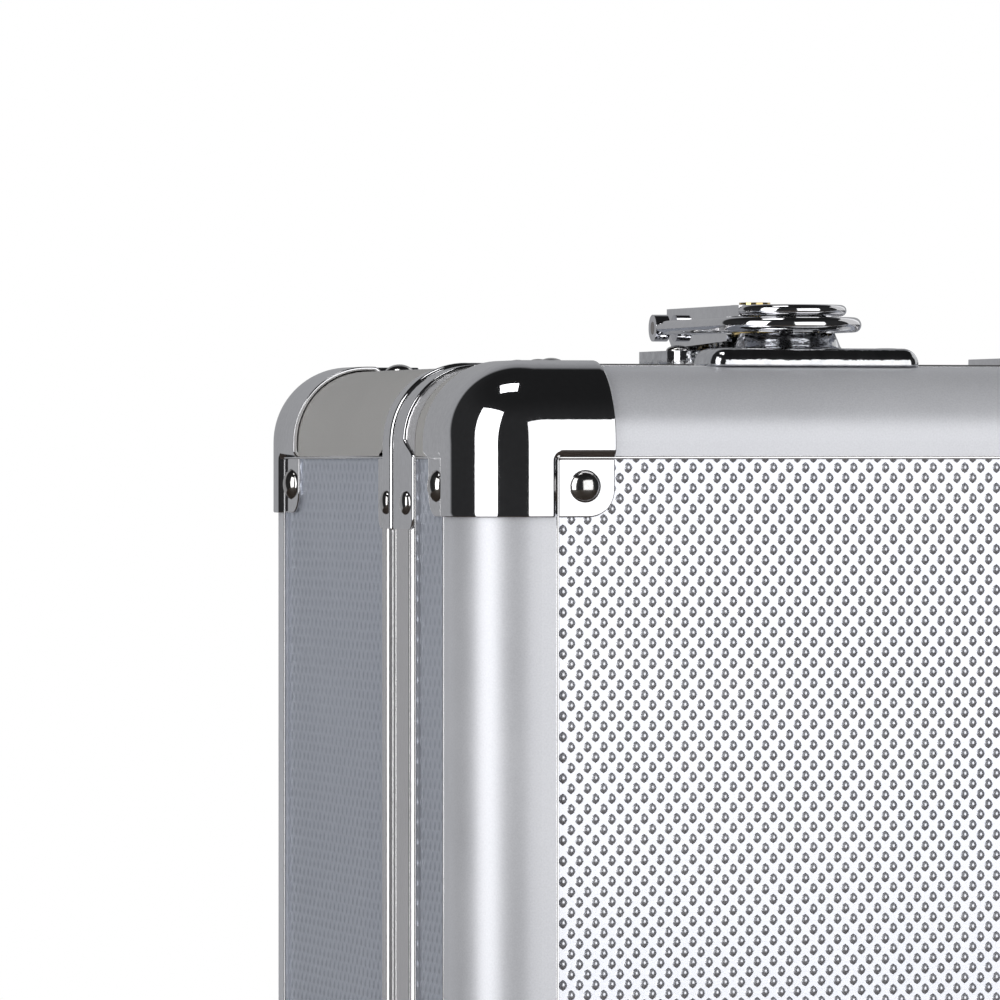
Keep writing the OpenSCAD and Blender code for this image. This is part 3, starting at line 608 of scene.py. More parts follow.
@dataclass
class EmbossedSkins:
    """Rows of small raised studs on every panel.

    Attributes:
        pitch_across: the distance between studs in a row.
        pitch_up: the distance between rows; alternate rows are half a pitch along.
        stud_width: half the width of a stud.
        stud_height: half the height of a stud.
        face_rise: how far a stud stands off the front or back panel.
        wall_rise: how far a stud stands off a wall panel.
        waist: how strongly the studs' outline is drawn in between its tips.
        face_first: where the first column of the front and back panels stands.
        under: how far the studs start under a rail's or rim's edge.
    """

    pitch_across: float = 3.12 * MM
    pitch_up: float = 1.90 * MM
    stud_width: float = 0.88 * MM
    stud_height: float = 1.04 * MM
    face_rise: float = 0.42 * MM
    wall_rise: float = 0.2 * MM
    waist: float = 0.4
    face_first: float = -182.56 * MM
    under: float = 0.4 * MM

    def patch(self, tree: StudTree, name: str, shell: Shell, finish: Finish, matrix: Matrix,
              first: float, columns: int, up: tuple[float, float]) -> None:
        """Lays studs over one rectangle.

        Args:
            tree: the tree that makes them.
            name: the piece's name.
            shell: the half of the case that the piece rides on.
            finish: the studs' finish.
            matrix: turns the patch's own X, Y and outward Z into the frame's.
            first: where its first column stands along its X.
            columns: how many columns it has.
            up: where it starts and ends along its Y.
        """
        height = up[1] - up[0]
        rows = int(height / self.pitch_up) + 1
        host = add_object(name, bpy.data.meshes.new(name))
        stack = host.modifiers.new("studs", "NODES")
        stack.node_group = tree.tree
        for label, value in (("Columns", columns), ("Rows", rows), ("Pitch across", self.pitch_across),
                             ("Pitch up", self.pitch_up), ("Stud width", self.stud_width),
                             ("Stud height", self.stud_height), ("Waist", self.waist),
                             ("Stud rise", self.face_rise if finish is FACE_SKIN else self.wall_rise),
                             ("Sides", 8), ("Rings", 2), ("Finish", finish.material())):
            stack[tree.ids[label]] = value
        settle(host)
        middle = first + (columns - 1) * self.pitch_across / 2
        host.data.transform(matrix @ Matrix.Translation((middle, (up[0] + up[1]) / 2, 0)))
        if not host.data.materials:
            host.data.materials.append(finish.material())
        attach(host, shell.value)

    def build(self) -> None:
        """Lays the studs on all ten panels."""
        tree = StudTree()
        lip = RAIL_LEG - 0.6 * MM
        face = HALF_D - SHEET_T
        up = (-HALF_H + lip, HALF_H - lip)
        front = Matrix(((1, 0, 0, 0), (0, 0, -1, -face), (0, 1, 0, MID_Z), (0, 0, 0, 1)))
        back = Matrix(((-1, 0, 0, 0), (0, 0, 1, face), (0, 1, 0, MID_Z), (0, 0, 0, 1)))
        first = self.face_first
        for part, columns in enumerate((39, 39, 40)):
            self.patch(tree, f"lid_front_studs_{part}", Shell.LID, FACE_SKIN, front, first, columns, up)
            self.patch(tree, f"base_back_studs_{part}", Shell.BASE, FACE_SKIN, back, first, columns, up)
            first += columns * self.pitch_across
        side = HALF_W - SHEET_T
        left = Matrix(((0, 0, -1, -side), (-1, 0, 0, 0), (0, 1, 0, MID_Z), (0, 0, 0, 1)))
        right = Matrix(((0, 0, 1, side), (1, 0, 0, 0), (0, 1, 0, MID_Z), (0, 0, 0, 1)))
        roof = Matrix(((1, 0, 0, 0), (0, 1, 0, 0), (0, 0, 1, TOP - SHEET_T), (0, 0, 0, 1)))
        floor = Matrix(((1, 0, 0, 0), (0, -1, 0, 0), (0, 0, -1, FOOT_H + SHEET_T), (0, 0, 0, 1)))
        wide = (-HALF_W + lip, HALF_W - lip)
        spans = {Shell.LID: (-HALF_D + lip, LID_END - LID_RIM_W + self.under),
                 Shell.BASE: (BASE_START + BASE_RIM_W - self.under, HALF_D - lip)}
        for shell, (low, high) in spans.items():
            for name, matrix, (start, end), height in (
                    ("_left_studs", left, (-high, -low), up), ("_right_studs", right, (low, high), up),
                    ("_top_studs", roof, wide, (low, high)), ("_bottom_studs", floor, wide, (-high, -low))):
                columns = int((end - start) / self.pitch_across)
                first = (start + end - (columns - 1) * self.pitch_across) / 2
                # The wall studs take the darker skin, which has painted shade
                self.patch(tree, shell.value + name, shell, WALL_SKIN_PAINTED_SHADE, matrix, first, columns, height)


# ---------------------------------------------------------------- corners and rims


@dataclass
class CornerCaps:
    """Pressed ball corners with a stepped tab on each of their three faces.

    Attributes:
        reach: how far each leg runs from the unrounded corner.
        proud: how far the cap stands off the rails.
        tab_drop: how far the tab lies below the cap.
        tab_slope: the width of the step down to it.
        tab_r: the radius of the step's inner corner.
        tip_r: the radius of the tab's outer tip.
    """

    reach: float = 28 * MM
    proud: float = 1.0 * MM
    tab_drop: float = 1.05 * MM
    tab_slope: float = 1.8 * MM
    tab_r: float = 2.0 * MM
    tip_r: float = 5 * MM

    def height(self, u: float, v: float) -> float:
        """Gives how far a flat point of the cap stands off the rails."""
        start = RAIL_LEG - 1.3 * MM
        reach = Vector((max(start + self.tab_r - u, 0.0), max(start + self.tab_r - v, 0.0)))
        inside = self.tab_r - reach.length
        return self.proud - self.tab_drop * smooth_step(0.0, self.tab_slope, inside)

    def point(self, u: float, v: float) -> Vector:
        """Gives the point of the face z = 0 for two distances from the corner."""
        radius = EDGE_R
        core = Vector((max(u, radius), max(v, radius), radius))
        outward = Vector((min(u - radius, 0.0), min(v - radius, 0.0), -radius)).normalized()
        flat = self.reach - self.tip_r
        if u > flat and v > flat:
            a, b = (u - flat) / self.tip_r, (v - flat) / self.tip_r
            core.x = flat + self.tip_r * a * math.sqrt(1 - b * b / 2)
            core.y = flat + self.tip_r * b * math.sqrt(1 - a * a / 2)
        return core + outward * (radius + self.height(u, v))

    def octant(self) -> Sheet:
        """Builds the cap at the bottom left front corner."""
        stops = spaced((0, 0), (EDGE_R, 14), (RAIL_LEG - 1.1 * MM, 3), (RAIL_LEG + 1.9 * MM, 16),
                       (self.reach - self.tip_r, 3), (self.reach, 6))
        made = Sheet()
        corner = Vector((-HALF_W, -HALF_D, FOOT_H))
        for order in ((0, 1, 2), (2, 0, 1), (1, 2, 0)):
            rows = []
            for u in stops:
                row = []
                for v in stops:
                    p = self.point(u, v)
                    row.append(corner + Vector([p[order.index(axis)] for axis in range(3)]))
                rows.append(row)
            made.grid(rows)
        return made

    def build(self) -> None:
        """Makes the caps of both shells."""
        for shell, ways in ((Shell.LID, FOUR_WAYS), (Shell.BASE, FOUR_WAYS_BACK)):
            piece = self.octant().repeat(ways).to_object(shell.value + "_ball_corners", CHROME)
            thicken(piece, 0.75 * MM, 0.28 * MM)
            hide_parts(shell.value + "_corner_caps")
            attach(piece, shell.value)


@dataclass
class RimCorners:
    """Chrome straps that bend round the corners at the parting line.

    Attributes:
        reach: how far each leg runs from the unrounded corner.
        bend_w: the width round the bend.
        proud: how far the strap stands off the rim.
        round_r: the rounding of its edges.
        bead_rise: the height of the rolled bead along the parting line.
        step_w: the width of a tab's step down to the panel.
        tip_r: the radius of a tab's corners.
        plans: each shell's tab width, bead width and place of the step, which is past the tab where
            there is none.
    """

    reach: float = 30.7 * MM
    bend_w: float = 7.4 * MM
    proud: float = 0.5 * MM
    round_r: float = 0.45 * MM
    bead_rise: float = 0.45 * MM
    step_w: float = 0.7 * MM
    tip_r: float = 2.6 * MM
    plans: tuple[tuple[float, float, float], ...] = (
        (13.8 * MM, 0.0, 20 * MM), (12.4 * MM, 1.6 * MM, 7.3 * MM))

    def path(self, s: float, off: float) -> tuple[float, float]:
        """Gives a point of the rounded edge's outline.

        Args:
            s: the length along the outline, from the end of one leg.
            off: how far the point stands off the outline.

        Returns:
            Its two distances from the unrounded corner.
        """
        straight = self.reach - EDGE_R
        arc = EDGE_R * math.pi / 2
        if s < straight:
            return -off, self.reach - s
        if s > straight + arc:
            return EDGE_R + s - straight - arc, -off
        turn = (s - straight) / EDGE_R
        return EDGE_R - (EDGE_R + off) * math.cos(turn), EDGE_R - (EDGE_R + off) * math.sin(turn)

    def strap(self, tab_w: float, rolled: float, drop_from: float, sign: float, start: float) -> Sheet:
        """Builds the strap at the bottom left corner.

        Args:
            tab_w: the width of the two tabs.
            rolled: the width of the rolled bead along the parting line.
            drop_from: where the tab steps down to the panel.
            sign: the direction along Y in which the strap grows from the parting line.
            start: the parting line's place along Y.

        Returns:
            The strap.
        """
        straight = self.reach - EDGE_R
        arc = EDGE_R * math.pi / 2
        total = 2 * straight + arc
        steps = spaced((0, 0), (3 * MM, 12), (straight - 4 * MM, 6), (straight + 1 * MM, 16),
                       (straight + arc - 1 * MM, 18), (total - straight + 4 * MM, 16),
                       (total - 3 * MM, 6), (total, 12))
        across = spaced((0, 0), (0.04, 5), (0.3, 8), (0.55, 4), (0.75, 8), (0.96, 4), (1.0, 5))
        rows = []
        for s in steps:
            leg = min(s, total - s)
            width = self.bend_w + (tab_w - self.bend_w) * (1 - smooth_step(straight - 3.2 * MM,
                                                                          straight + 0.6 * MM, leg))
            if leg < self.tip_r:
                width -= self.tip_r - math.sqrt(max(self.tip_r ** 2 - (self.tip_r - leg) ** 2, 0.0))
            row = []
            for t in across:
                w = width * t
                off = self.proud
                if rolled:
                    bead = math.sin(min(w / rolled, 1.0) * math.pi)
                    off += self.bead_rise * max(bead, 0.0)
                off -= self.proud * smooth_step(drop_from, drop_from + self.step_w, w)
                edge = max(self.round_r - min(w, width - w, leg), 0.0) / self.round_r
                off -= self.round_r * (1 - math.sqrt(1 - edge ** 2))
                a, b = self.path(s, off)
                row.append(Vector((-HALF_W + a, start + sign * w, FOOT_H + b)))
            rows.append(row)
        made = Sheet()
        made.grid(rows)
        return made

    def build(self) -> None:
        """Makes the straps of both shells."""
        for shell, plan, sign, start in zip(Shell, self.plans, (-1.0, 1.0), (LID_END, BASE_START)):
            piece = self.strap(*plan, sign, start).repeat(FOUR_WAYS).to_object(
                shell.value + "_rim_straps", CHROME, 60)
            thicken(piece, 0.25 * MM)
            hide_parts(shell.value + "_rim_corners")
            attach(piece, shell.value)


def outline(depth: float, arc_steps: int = 10, stops: Sequence[float] = ()) -> list[Vector]:
    """Gives the case's rounded front outline.

    Args:
        depth: how far it is moved in from the rails' outer face.
        arc_steps: the steps of each rounded corner.
        stops: distances from a corner at which the straight runs get a point, in rising order.

    Returns:
        Its points with Y at 0, all the way round.
    """
    points = []
    for quarter, (sx, sz) in enumerate(((1, 1), (-1, 1), (-1, -1), (1, -1))):
        arc = []
        for step in range(arc_steps + 1):
            turn = math.pi / 2 * (quarter + step / arc_steps)
            radius = EDGE_R - depth
            arc.append(Vector((sx * (HALF_W - EDGE_R) + radius * math.cos(turn), 0.0,
                               MID_Z + sz * (HALF_H - EDGE_R) + radius * math.sin(turn))))
        ahead = [Vector((-math.sin(turn), 0, math.cos(turn)))
                 for turn in (math.pi / 2 * quarter, math.pi / 2 * (quarter + 1))]
        points += [arc[0] - ahead[0] * (stop - EDGE_R) for stop in reversed(stops)]
        points += arc
        points += [arc[-1] + ahead[1] * (stop - EDGE_R) for stop in stops]
    return points


@dataclass
class FlutedRims:
    """The ridged outer faces of the two rims, which flatten out under the corner straps.

    Attributes:
        lid_ridges: start, width and rise of each ridge of the lid's rim, from the parting line.
        base_ridges: the same for the base's rim.
        floor_rise: how far the rim stands out between ridges.
        flank: the width of each ridge's sloping side.
        strap_ends: between which distances from a corner the ridges rise from under its strap.
    """

    lid_ridges: tuple[tuple[float, float, float], ...] = (
        (0.1 * MM, 1.7 * MM, 0.5 * MM), (2.3 * MM, 9.6 * MM, 0.5 * MM), (12.4 * MM, 1.5 * MM, 0.62 * MM))
    base_ridges: tuple[tuple[float, float, float], ...] = (
        (0.1 * MM, 1.4 * MM, 0.5 * MM), (1.9 * MM, 1.3 * MM, 0.35 * MM), (3.7 * MM, 3.7 * MM, 0.55 * MM))
    floor_rise: float = 0.05 * MM
    flank: float = 0.42 * MM
    strap_ends: tuple[float, float] = (29.4 * MM, 30.6 * MM)

    def rise(self, ridges: Sequence[tuple[float, float, float]], w: float) -> float:
        """Gives how far the rim's ridges stand out at a distance from the parting line."""
        return max(high * min(max(min(w - start, start + width - w) / self.flank, 0.0), 1.0)
                   for start, width, high in ridges)

    def build(self) -> None:
        """Makes both rims' faces."""
        for shell, ridges, sign, start, width in (
                (Shell.LID, self.lid_ridges, -1.0, LID_END, LID_RIM_W),
                (Shell.BASE, self.base_ridges, 1.0, BASE_START, BASE_RIM_W)):
            count = int(width / (self.flank / 4))
            made = Sheet()
            stops = [(width * i / count, self.rise(ridges, width * i / count)) for i in range(count + 1)]
            rows = []
            for w, high, low in [(0.0, 0.0, 0.25 * MM), *[(*stop, 0.0) for stop in stops],
                                 (width, 0.0, 0.25 * MM)]:
                outer = outline(low - self.floor_rise - high, stops=self.strap_ends)
                inner = outline(low - self.floor_rise, stops=self.strap_ends)
                shift = Vector((0, start + sign * w, 0))
                rows.append([shift + a.lerp(b, self.cover(a)) for a, b in zip(outer, inner)])
            rows.append(rows[0])
            made.grid(rows, closed=True)
            piece = made.to_object(shell.value + "_rim_flutes", RIM_SATIN, 50)
            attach(piece, shell.value)

    def cover(self, p: Vector) -> float:
        """Gives 1 for a point under a corner strap and 0 for a point away from it."""
        away = max(HALF_W - abs(p.x), HALF_H - abs(p.z - MID_Z))
        return 1.0 - smooth_step(*self.strap_ends, away)


@dataclass
class RolledLips:
    """The thin bright beads along the free edges of the rails and rims.

    Attributes:
        bead_r: the radius of a bead.
    """

    bead_r: float = 0.3 * MM

    def frame(self, plane: Callable[[float, float, float], Vector], half_a: float, half_b: float) -> Sheet:
        """Runs a bead round a rectangular panel opening.

        Args:
            plane: turns two distances along the panel and a height off it into a point.
            half_a: half the opening's width.
            half_b: half its height.

        Returns:
            The bead.
        """
        made = Sheet()
        corners = ((-1, -1), (1, -1), (1, 1), (-1, 1))
        rows = []
        for step in range(9):
            turn = math.pi * step / 8
            inset = -self.bead_r * math.cos(turn)
            high = self.bead_r * math.sin(turn)
            rows.append([plane(sa * (half_a - inset), sb * (half_b - inset), high) for sa, sb in corners])
        made.grid(rows, closed=True)
        return made

    def build(self) -> None:
        """Makes the beads of both shells."""
        face_a, face_b = HALF_W - RAIL_LEG, HALF_H - RAIL_LEG
        low = 0.12 * MM
        for shell, sign, start, end in ((Shell.LID, -1.0, -HALF_D + RAIL_LEG, LID_END - LID_RIM_W),
                                        (Shell.BASE, 1.0, BASE_START + BASE_RIM_W, HALF_D - RAIL_LEG)):
            mid, half = (start + end) / 2, (end - start) / 2
            face = self.frame(lambda a, b, h: Vector((a, sign * (HALF_D - low + h), MID_Z + b)), face_a,
                              face_b)
            sides = Sheet()
            for way in (-1, 1):
                for part in (
                        self.frame(lambda a, b, h: Vector((way * (HALF_W - low + h), mid + a, MID_Z + b)),
                                   half, face_b),
                        self.frame(lambda a, b, h: Vector((b, mid + a, MID_Z + way * (HALF_H - low + h))),
                                   half, face_a)):
                    sides.add(part)
            for name, sheet in (("_face_lips", face), ("_wall_lips", sides)):
                piece = sheet.to_object(shell.value + name, LIP_METAL, 60)
                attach(piece, shell.value)


# ---------------------------------------------------------------- rivets


class RivetTree(DomeTree):
    """The tree that sets a domed head on every point of a seed mesh."""

    def __init__(self) -> None:
        """Builds the tree."""
        super().__init__("rivet_heads", {"Seeds": "Geometry", "Head radius": "Float",
                                         "Head height": "Float", "Finish": "Material"}, "Heads")
        bench, given = self.bench, self.given
        angle = bench.math("MULTIPLY", self.radius, math.pi / 2)
        safe = bench.math("MAXIMUM", self.radius, 0.001)
        factor = bench.math("MULTIPLY", bench.math("DIVIDE", bench.math("SINE", angle), safe),
                            given["Head radius"])
        rise = bench.math("MULTIPLY", bench.math("COSINE", angle), given["Head height"])
        outward = bench.add("GeometryNodeInputNamedAttribute", {"Name": "outward"},
                            data_type="FLOAT_VECTOR")
        turned = bench.add("FunctionNodeAlignRotationToVector", {"Vector": outward.outputs["Attribute"]},
                           axis="Z")
        self.set_domes(given["Seeds"], 28, 9,
                       (bench.math("MULTIPLY", self.x, factor), bench.math("MULTIPLY", self.y, factor), rise),
                       turned.outputs[0])


Seed = tuple[Vector, Vector]


@dataclass
class Rivets:
    """Domed heads that hold the corners, straps and plates.

    Attributes:
        corner_r: the radius of a corner rivet's head.
        corner_h: its height.
        sunk: how deep its foot lies below the cap.
        small_r: the radius of a small rivet's head.
        small_h: its height.
        corner_in: the distance of a corner rivet from both edges.
        strap_in: the distance of a strap's rivet from the corner.
        strap_proud: how far a strap's rivet starts off the case's outline.
        keeper_pair: half the distance between a keeper's rivets, their Y, and their height on the case.
        latch_pair: the same for the rivets of a latch's base plate.
        hinge_pair: the same for a hinge leaf's rivets, with Y from the parting line.
        hinge_x: the distance of a hinge from the middle.
        bracket_pair: the same as latch_pair for a handle bracket's rivets, which lie along Y.
        bracket_x: the distance of a handle bracket from the middle.
    """

    corner_r: float = 3.15 * MM
    corner_h: float = 2.2 * MM
    sunk: float = 0.65 * MM
    small_r: float = 2.3 * MM
    small_h: float = 1.1 * MM
    corner_in: float = 22.3 * MM
    strap_in: float = 25.5 * MM
    strap_proud: float = 0.5 * MM
    keeper_pair: tuple[float, float, float] = (15 * MM, -59.6 * MM, 3.38 * MM)
    latch_pair: tuple[float, float, float] = (13.2 * MM, -19 * MM, 3.4 * MM)
    hinge_pair: tuple[float, float, float] = (13 * MM, 16 * MM, 1.5 * MM)
    hinge_x: float = 115 * MM
    bracket_pair: tuple[float, float, float] = (7 * MM, -10 * MM, 2.2 * MM)
    bracket_x: float = 67.8 * MM

    def pairs(self, x: float, half: float, y: float, z: float, up: float = 1.0) -> list[Seed]:
        """Lists a pair of plate rivets on the left and on the right.

        Args:
            x: the pair's distance from the middle of the case.
            half: half the distance between its rivets.
            y: its place along Y.
            z: its height.
            up: 1 where the heads look up and -1 where they look down.

        Returns:
            Each rivet's place and direction.
        """
        return [(Vector((sx * x + side * half, y, z)), Vector((0, 0, up))) for sx, side in SIGNS]

    def flush_seeds(self) -> list[Seed]:
        """Lists the countersunk rivets of the keepers."""
        half, y, z = self.keeper_pair
        return self.pairs(LATCH_X, half, y, TOP + z)

    def corner_seeds(self, sign: float) -> list[Seed]:
        """Lists a shell's corner rivets, each as a place and a direction."""
        seeds = []
        a, d = self.corner_in, self.sunk
        for sx, sz in SIGNS:
            x, y, z = sx * HALF_W, sign * HALF_D, MID_Z + sz * HALF_H
            seeds += [(Vector((x - sx * a, y - sign * d, z - sz * a)), Vector((0, sign, 0))),
                      (Vector((x - sx * d, y - sign * a, z - sz * a)), Vector((sx, 0, 0))),
                      (Vector((x - sx * a, y - sign * a, z - sz * d)), Vector((0, 0, sz)))]
        return seeds

    def strap_seeds(self, y: float) -> list[Seed]:
        """Lists a shell's strap rivets, each as a place and a direction."""
        seeds = []
        proud = self.strap_proud
        for sx, sz in SIGNS:
            x, z = sx * HALF_W, MID_Z + sz * HALF_H
            seeds += [(Vector((x + sx * proud, y, z - sz * self.strap_in)), Vector((sx, 0, 0))),
                      (Vector((x - sx * self.strap_in, y, z + sz * proud)), Vector((0, 0, sz)))]
        return seeds

    def plate_seeds(self, shell: Shell) -> list[Seed]:
        """Lists the rivets of the latch, hinge and handle plates of a shell."""
        half, y, z = self.hinge_pair
        if shell is Shell.LID:
            return self.pairs(self.hinge_x, half, PARTING - y, FOOT_H - z, -1.0)
        seeds = self.pairs(self.hinge_x, half, PARTING + y, FOOT_H - z, -1.0)
        half, y, z = self.latch_pair
        seeds += self.pairs(LATCH_X, half, y, TOP + z)
        half, y, z = self.bracket_pair
        return seeds + [(Vector((sx * self.bracket_x, y + side * half, TOP + z)), Vector((0, 0, 1)))
                        for sx, side in SIGNS]

    def heads(self, tree: RivetTree, name: str, seeds: list[Seed], radius: float,
              height: float) -> bpy.types.Object:
        """Makes one piece out of rivet heads.

        Args:
            tree: the tree that makes them.
            name: the piece's name.
            seeds: each head's place and direction.
            radius: a head's radius.
            height: a head's height.

        Returns:
            The piece.
        """
        mesh = bpy.data.meshes.new(name)
        mesh.from_pydata([tuple(p) for p, _ in seeds], [], [])
        outward = mesh.attributes.new("outward", "FLOAT_VECTOR", "POINT")
        outward.data.foreach_set("vector", [c for _, n in seeds for c in n])
        piece = add_object(name, mesh)
        stack = piece.modifiers.new("heads", "NODES")
        stack.node_group = tree.tree
        stack[tree.ids["Head radius"]] = radius
        stack[tree.ids["Head height"]] = height
        stack[tree.ids["Finish"]] = RIVET_CHROME.material()
        weld(settle(piece).data)
        shade(piece, 50)
        return piece

    def build(self) -> None:
        """Makes the heads of both shells."""
        tree = RivetTree()
        flush = self.heads(tree, "lid_flush_rivets", self.flush_seeds(), self.small_r, 0.12 * MM)
        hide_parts("lid_rivets")
        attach(flush, "lid")
        for shell, sign, y in ((Shell.LID, -1.0, LID_END - 9 * MM),
                               (Shell.BASE, 1.0, BASE_START + 4.7 * MM)):
            big = self.heads(tree, shell.value + "_corner_rivets", self.corner_seeds(sign),
                             self.corner_r, self.corner_h)
            small = self.heads(tree, shell.value + "_small_rivets",
                               self.strap_seeds(y) + self.plate_seeds(shell),
                               self.small_r, self.small_h)
            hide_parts(shell.value + "_rivets")
            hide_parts(shell.value + "_rivets")
            for piece in (big, small):
                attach(piece, shell.value)


# ---------------------------------------------------------------- latches, handle, lining


@dataclass
class Hardware:
    """Latches, handle and hinges, with the soft edges that cast and pressed parts have.

    Attributes:
        edges: the rounding of each node that gets one, by the node's ending.
    """

    edges: dict[str, float] = field(default_factory=lambda: {
        "_latch_base": 0.25 * MM, "_lock": 0.15 * MM, "handle_brackets": 0.5 * MM,
        "_feet": 0.8 * MM, "hinge_lid_leaves": 0.3 * MM, "hinge_base_leaves": 0.3 * MM})

    def build(self) -> None:
        """Rounds each listed node."""
        body_of = {node: body for body, nodes in frame["record"]["behaviour"]["bodies"].items()
                   for node in nodes}
        for node, body in body_of.items():
            width = next((w for ending, w in self.edges.items() if node.endswith(ending)), None)
            if width is None:
                continue
            piece = softened(node, width)
            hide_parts(node)
            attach(piece, body)


@dataclass
class Keepers:
    """The latches' lid plates, with full round edges and a waisted drum.

    Attributes:
        plate_h: the plates' height.
        top_r: the rounding of a plate's upper edge.
        foot_r: the rounding of its lower edge.
        drum: radius and height in millimetres of each point of the drum's section.
        bar: the width, length and Y from the case's front of the plate's cross bar.
        neck: the same for its neck.
        corner_r: the radius of their outlines' corners.
        neck_drop: how far the neck's top lies below the bar's.
    """

    plate_h: float = 3.4 * MM
    top_r: float = 3.0 * MM
    foot_r: float = 0.35 * MM
    drum: tuple[tuple[float, float], ...] = (
        (10.6, 3.35), (10.35, 3.5), (10.1, 3.8), (9.9, 4.2), (9.7, 4.7), (9.45, 5.3), (9.2, 5.9), (9.0, 6.4),
        (7.5, 6.4), (7.2, 6.2), (7.2, 4.4), (0.01, 4.4))
    bar: tuple[float, float, float] = (41 * MM, 15 * MM, 18.5 * MM)
    neck: tuple[float, float, float] = (24 * MM, 32 * MM, 31 * MM)
    corner_r: float = 3 * MM
    neck_drop: float = 0.04 * MM

    def plate(self, case_edge: Vector, width: float, length: float, y: float, height: float) -> Sheet:
        """Builds a plate with a rounded outline and rounded edges.

        Args:
            case_edge: the point of the case's front edge that it lines up with.
            width: its size along X.
            length: its size along Y.
            y: how far its middle lies behind the edge.
            height: its height.

        Returns:
            The closed mesh.
        """
        section = [(self.foot_r * (1 - math.sin(k * math.pi / 8)),
                    self.foot_r * (1 - math.cos(k * math.pi / 8))) for k in range(5)]
        section += [(self.top_r * (1 - math.cos(k * math.pi / 20)),
                     height - self.top_r * (1 - math.sin(k * math.pi / 20))) for k in range(11)]
        rows = []
        for inset, z in section:
            radius = max(self.corner_r - inset, 0.3 * MM)
            a, b = width / 2 - inset - radius, length / 2 - inset - radius
            row = []
            for quarter, (sx, sy) in enumerate(((1, 1), (-1, 1), (-1, -1), (1, -1))):
                for step in range(9):
                    turn = math.pi / 2 * (quarter + step / 8)
                    row.append(case_edge + Vector((sx * a + radius * math.cos(turn),
                                                   y + sy * b + radius * math.sin(turn), z)))
            rows.append(row)
        made = Sheet()
        made.grid(rows, closed=True)
        made.close_ends(len(rows[0]))
        return made

    def build(self) -> None:
        """Makes both keepers."""
        for side, sign in (("left", -1), ("right", 1)):
            middle = Vector((sign * LATCH_X, -HALF_D, TOP))
            lathe = Sheet()
            lathe.grid([[middle + Vector((r * MM * math.cos(k * math.pi / 32),
                                          DRUM_IN + r * MM * math.sin(k * math.pi / 32), z * MM))
                         for k in range(64)] for r, z in self.drum], closed=True)
            bar = self.plate(middle, *self.bar, self.plate_h)
            neck = self.plate(middle, *self.neck, self.plate_h - self.neck_drop)
            for name, sheet in (("bar", bar), ("neck", neck), ("drum", lathe)):
                piece = sheet.to_object(f"{side}_keeper_{name}", CAST_CHROME, 40)
                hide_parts(side + "_keeper")
                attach(piece, "lid")


@dataclass
class HandleGrip:
    """A moulded grip, fuller in the middle and scalloped underneath for the fingers.

    Attributes:
        half: half the grip's length.
        width: its full width.
        thick: its thickness.
        place: the middle of the grip.
        steps: the mesh's steps along the grip.
        around: its steps around the grip.
    """

    half: float = 46 * MM
    width: float = 22 * MM
    thick: float = 12 * MM
    place: Vector = field(default_factory=lambda: Vector((0, 23 * MM, TOP + 7 * MM)))
    steps: int = 72
    around: int = 40

    def build(self) -> None:
        """Makes the grip."""
        made = Sheet()
        rows = []
        for step in range(self.steps + 1):
            t = -1 + 2 * step / self.steps
            x = t * self.half
            end = math.sqrt(max(1 - max(abs(t) - 0.93, 0) ** 2 / 0.07 ** 2, 0.0))
            waist = (0.9 + 0.1 * math.cos(t * math.pi / 2)) * max(end, 0.35)
            row = []
            for k in range(self.around):
                turn = 2 * math.pi * k / self.around
                c, s = math.cos(turn), math.sin(turn)
                y = math.copysign(abs(c) ** 0.7, c) * self.width / 2 * waist
                z = math.copysign(abs(s) ** 0.75, s) * self.thick / 2 * waist
                if c > 0:
                    y -= 0.9 * MM * c * (0.5 - 0.5 * math.cos(t * math.pi * 8)) * (abs(t) < 0.75)
                row.append(self.place + Vector((x, y, z)))
            rows.append(row)
        made.grid(rows, closed=True)
        start = len(made.verts)
        for side, row in enumerate((rows[0], rows[-1])):
            made.verts.append(sum(row, Vector()) / self.around)
            first = side * self.steps * self.around
            made.faces += [(first + k, first + (k + 1) % self.around, start + side)
                           for k in range(self.around)]
        piece = made.to_object("handle_moulded_grip", GRIP, 50)
        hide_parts("handle_grip")
        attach(piece, "handle")


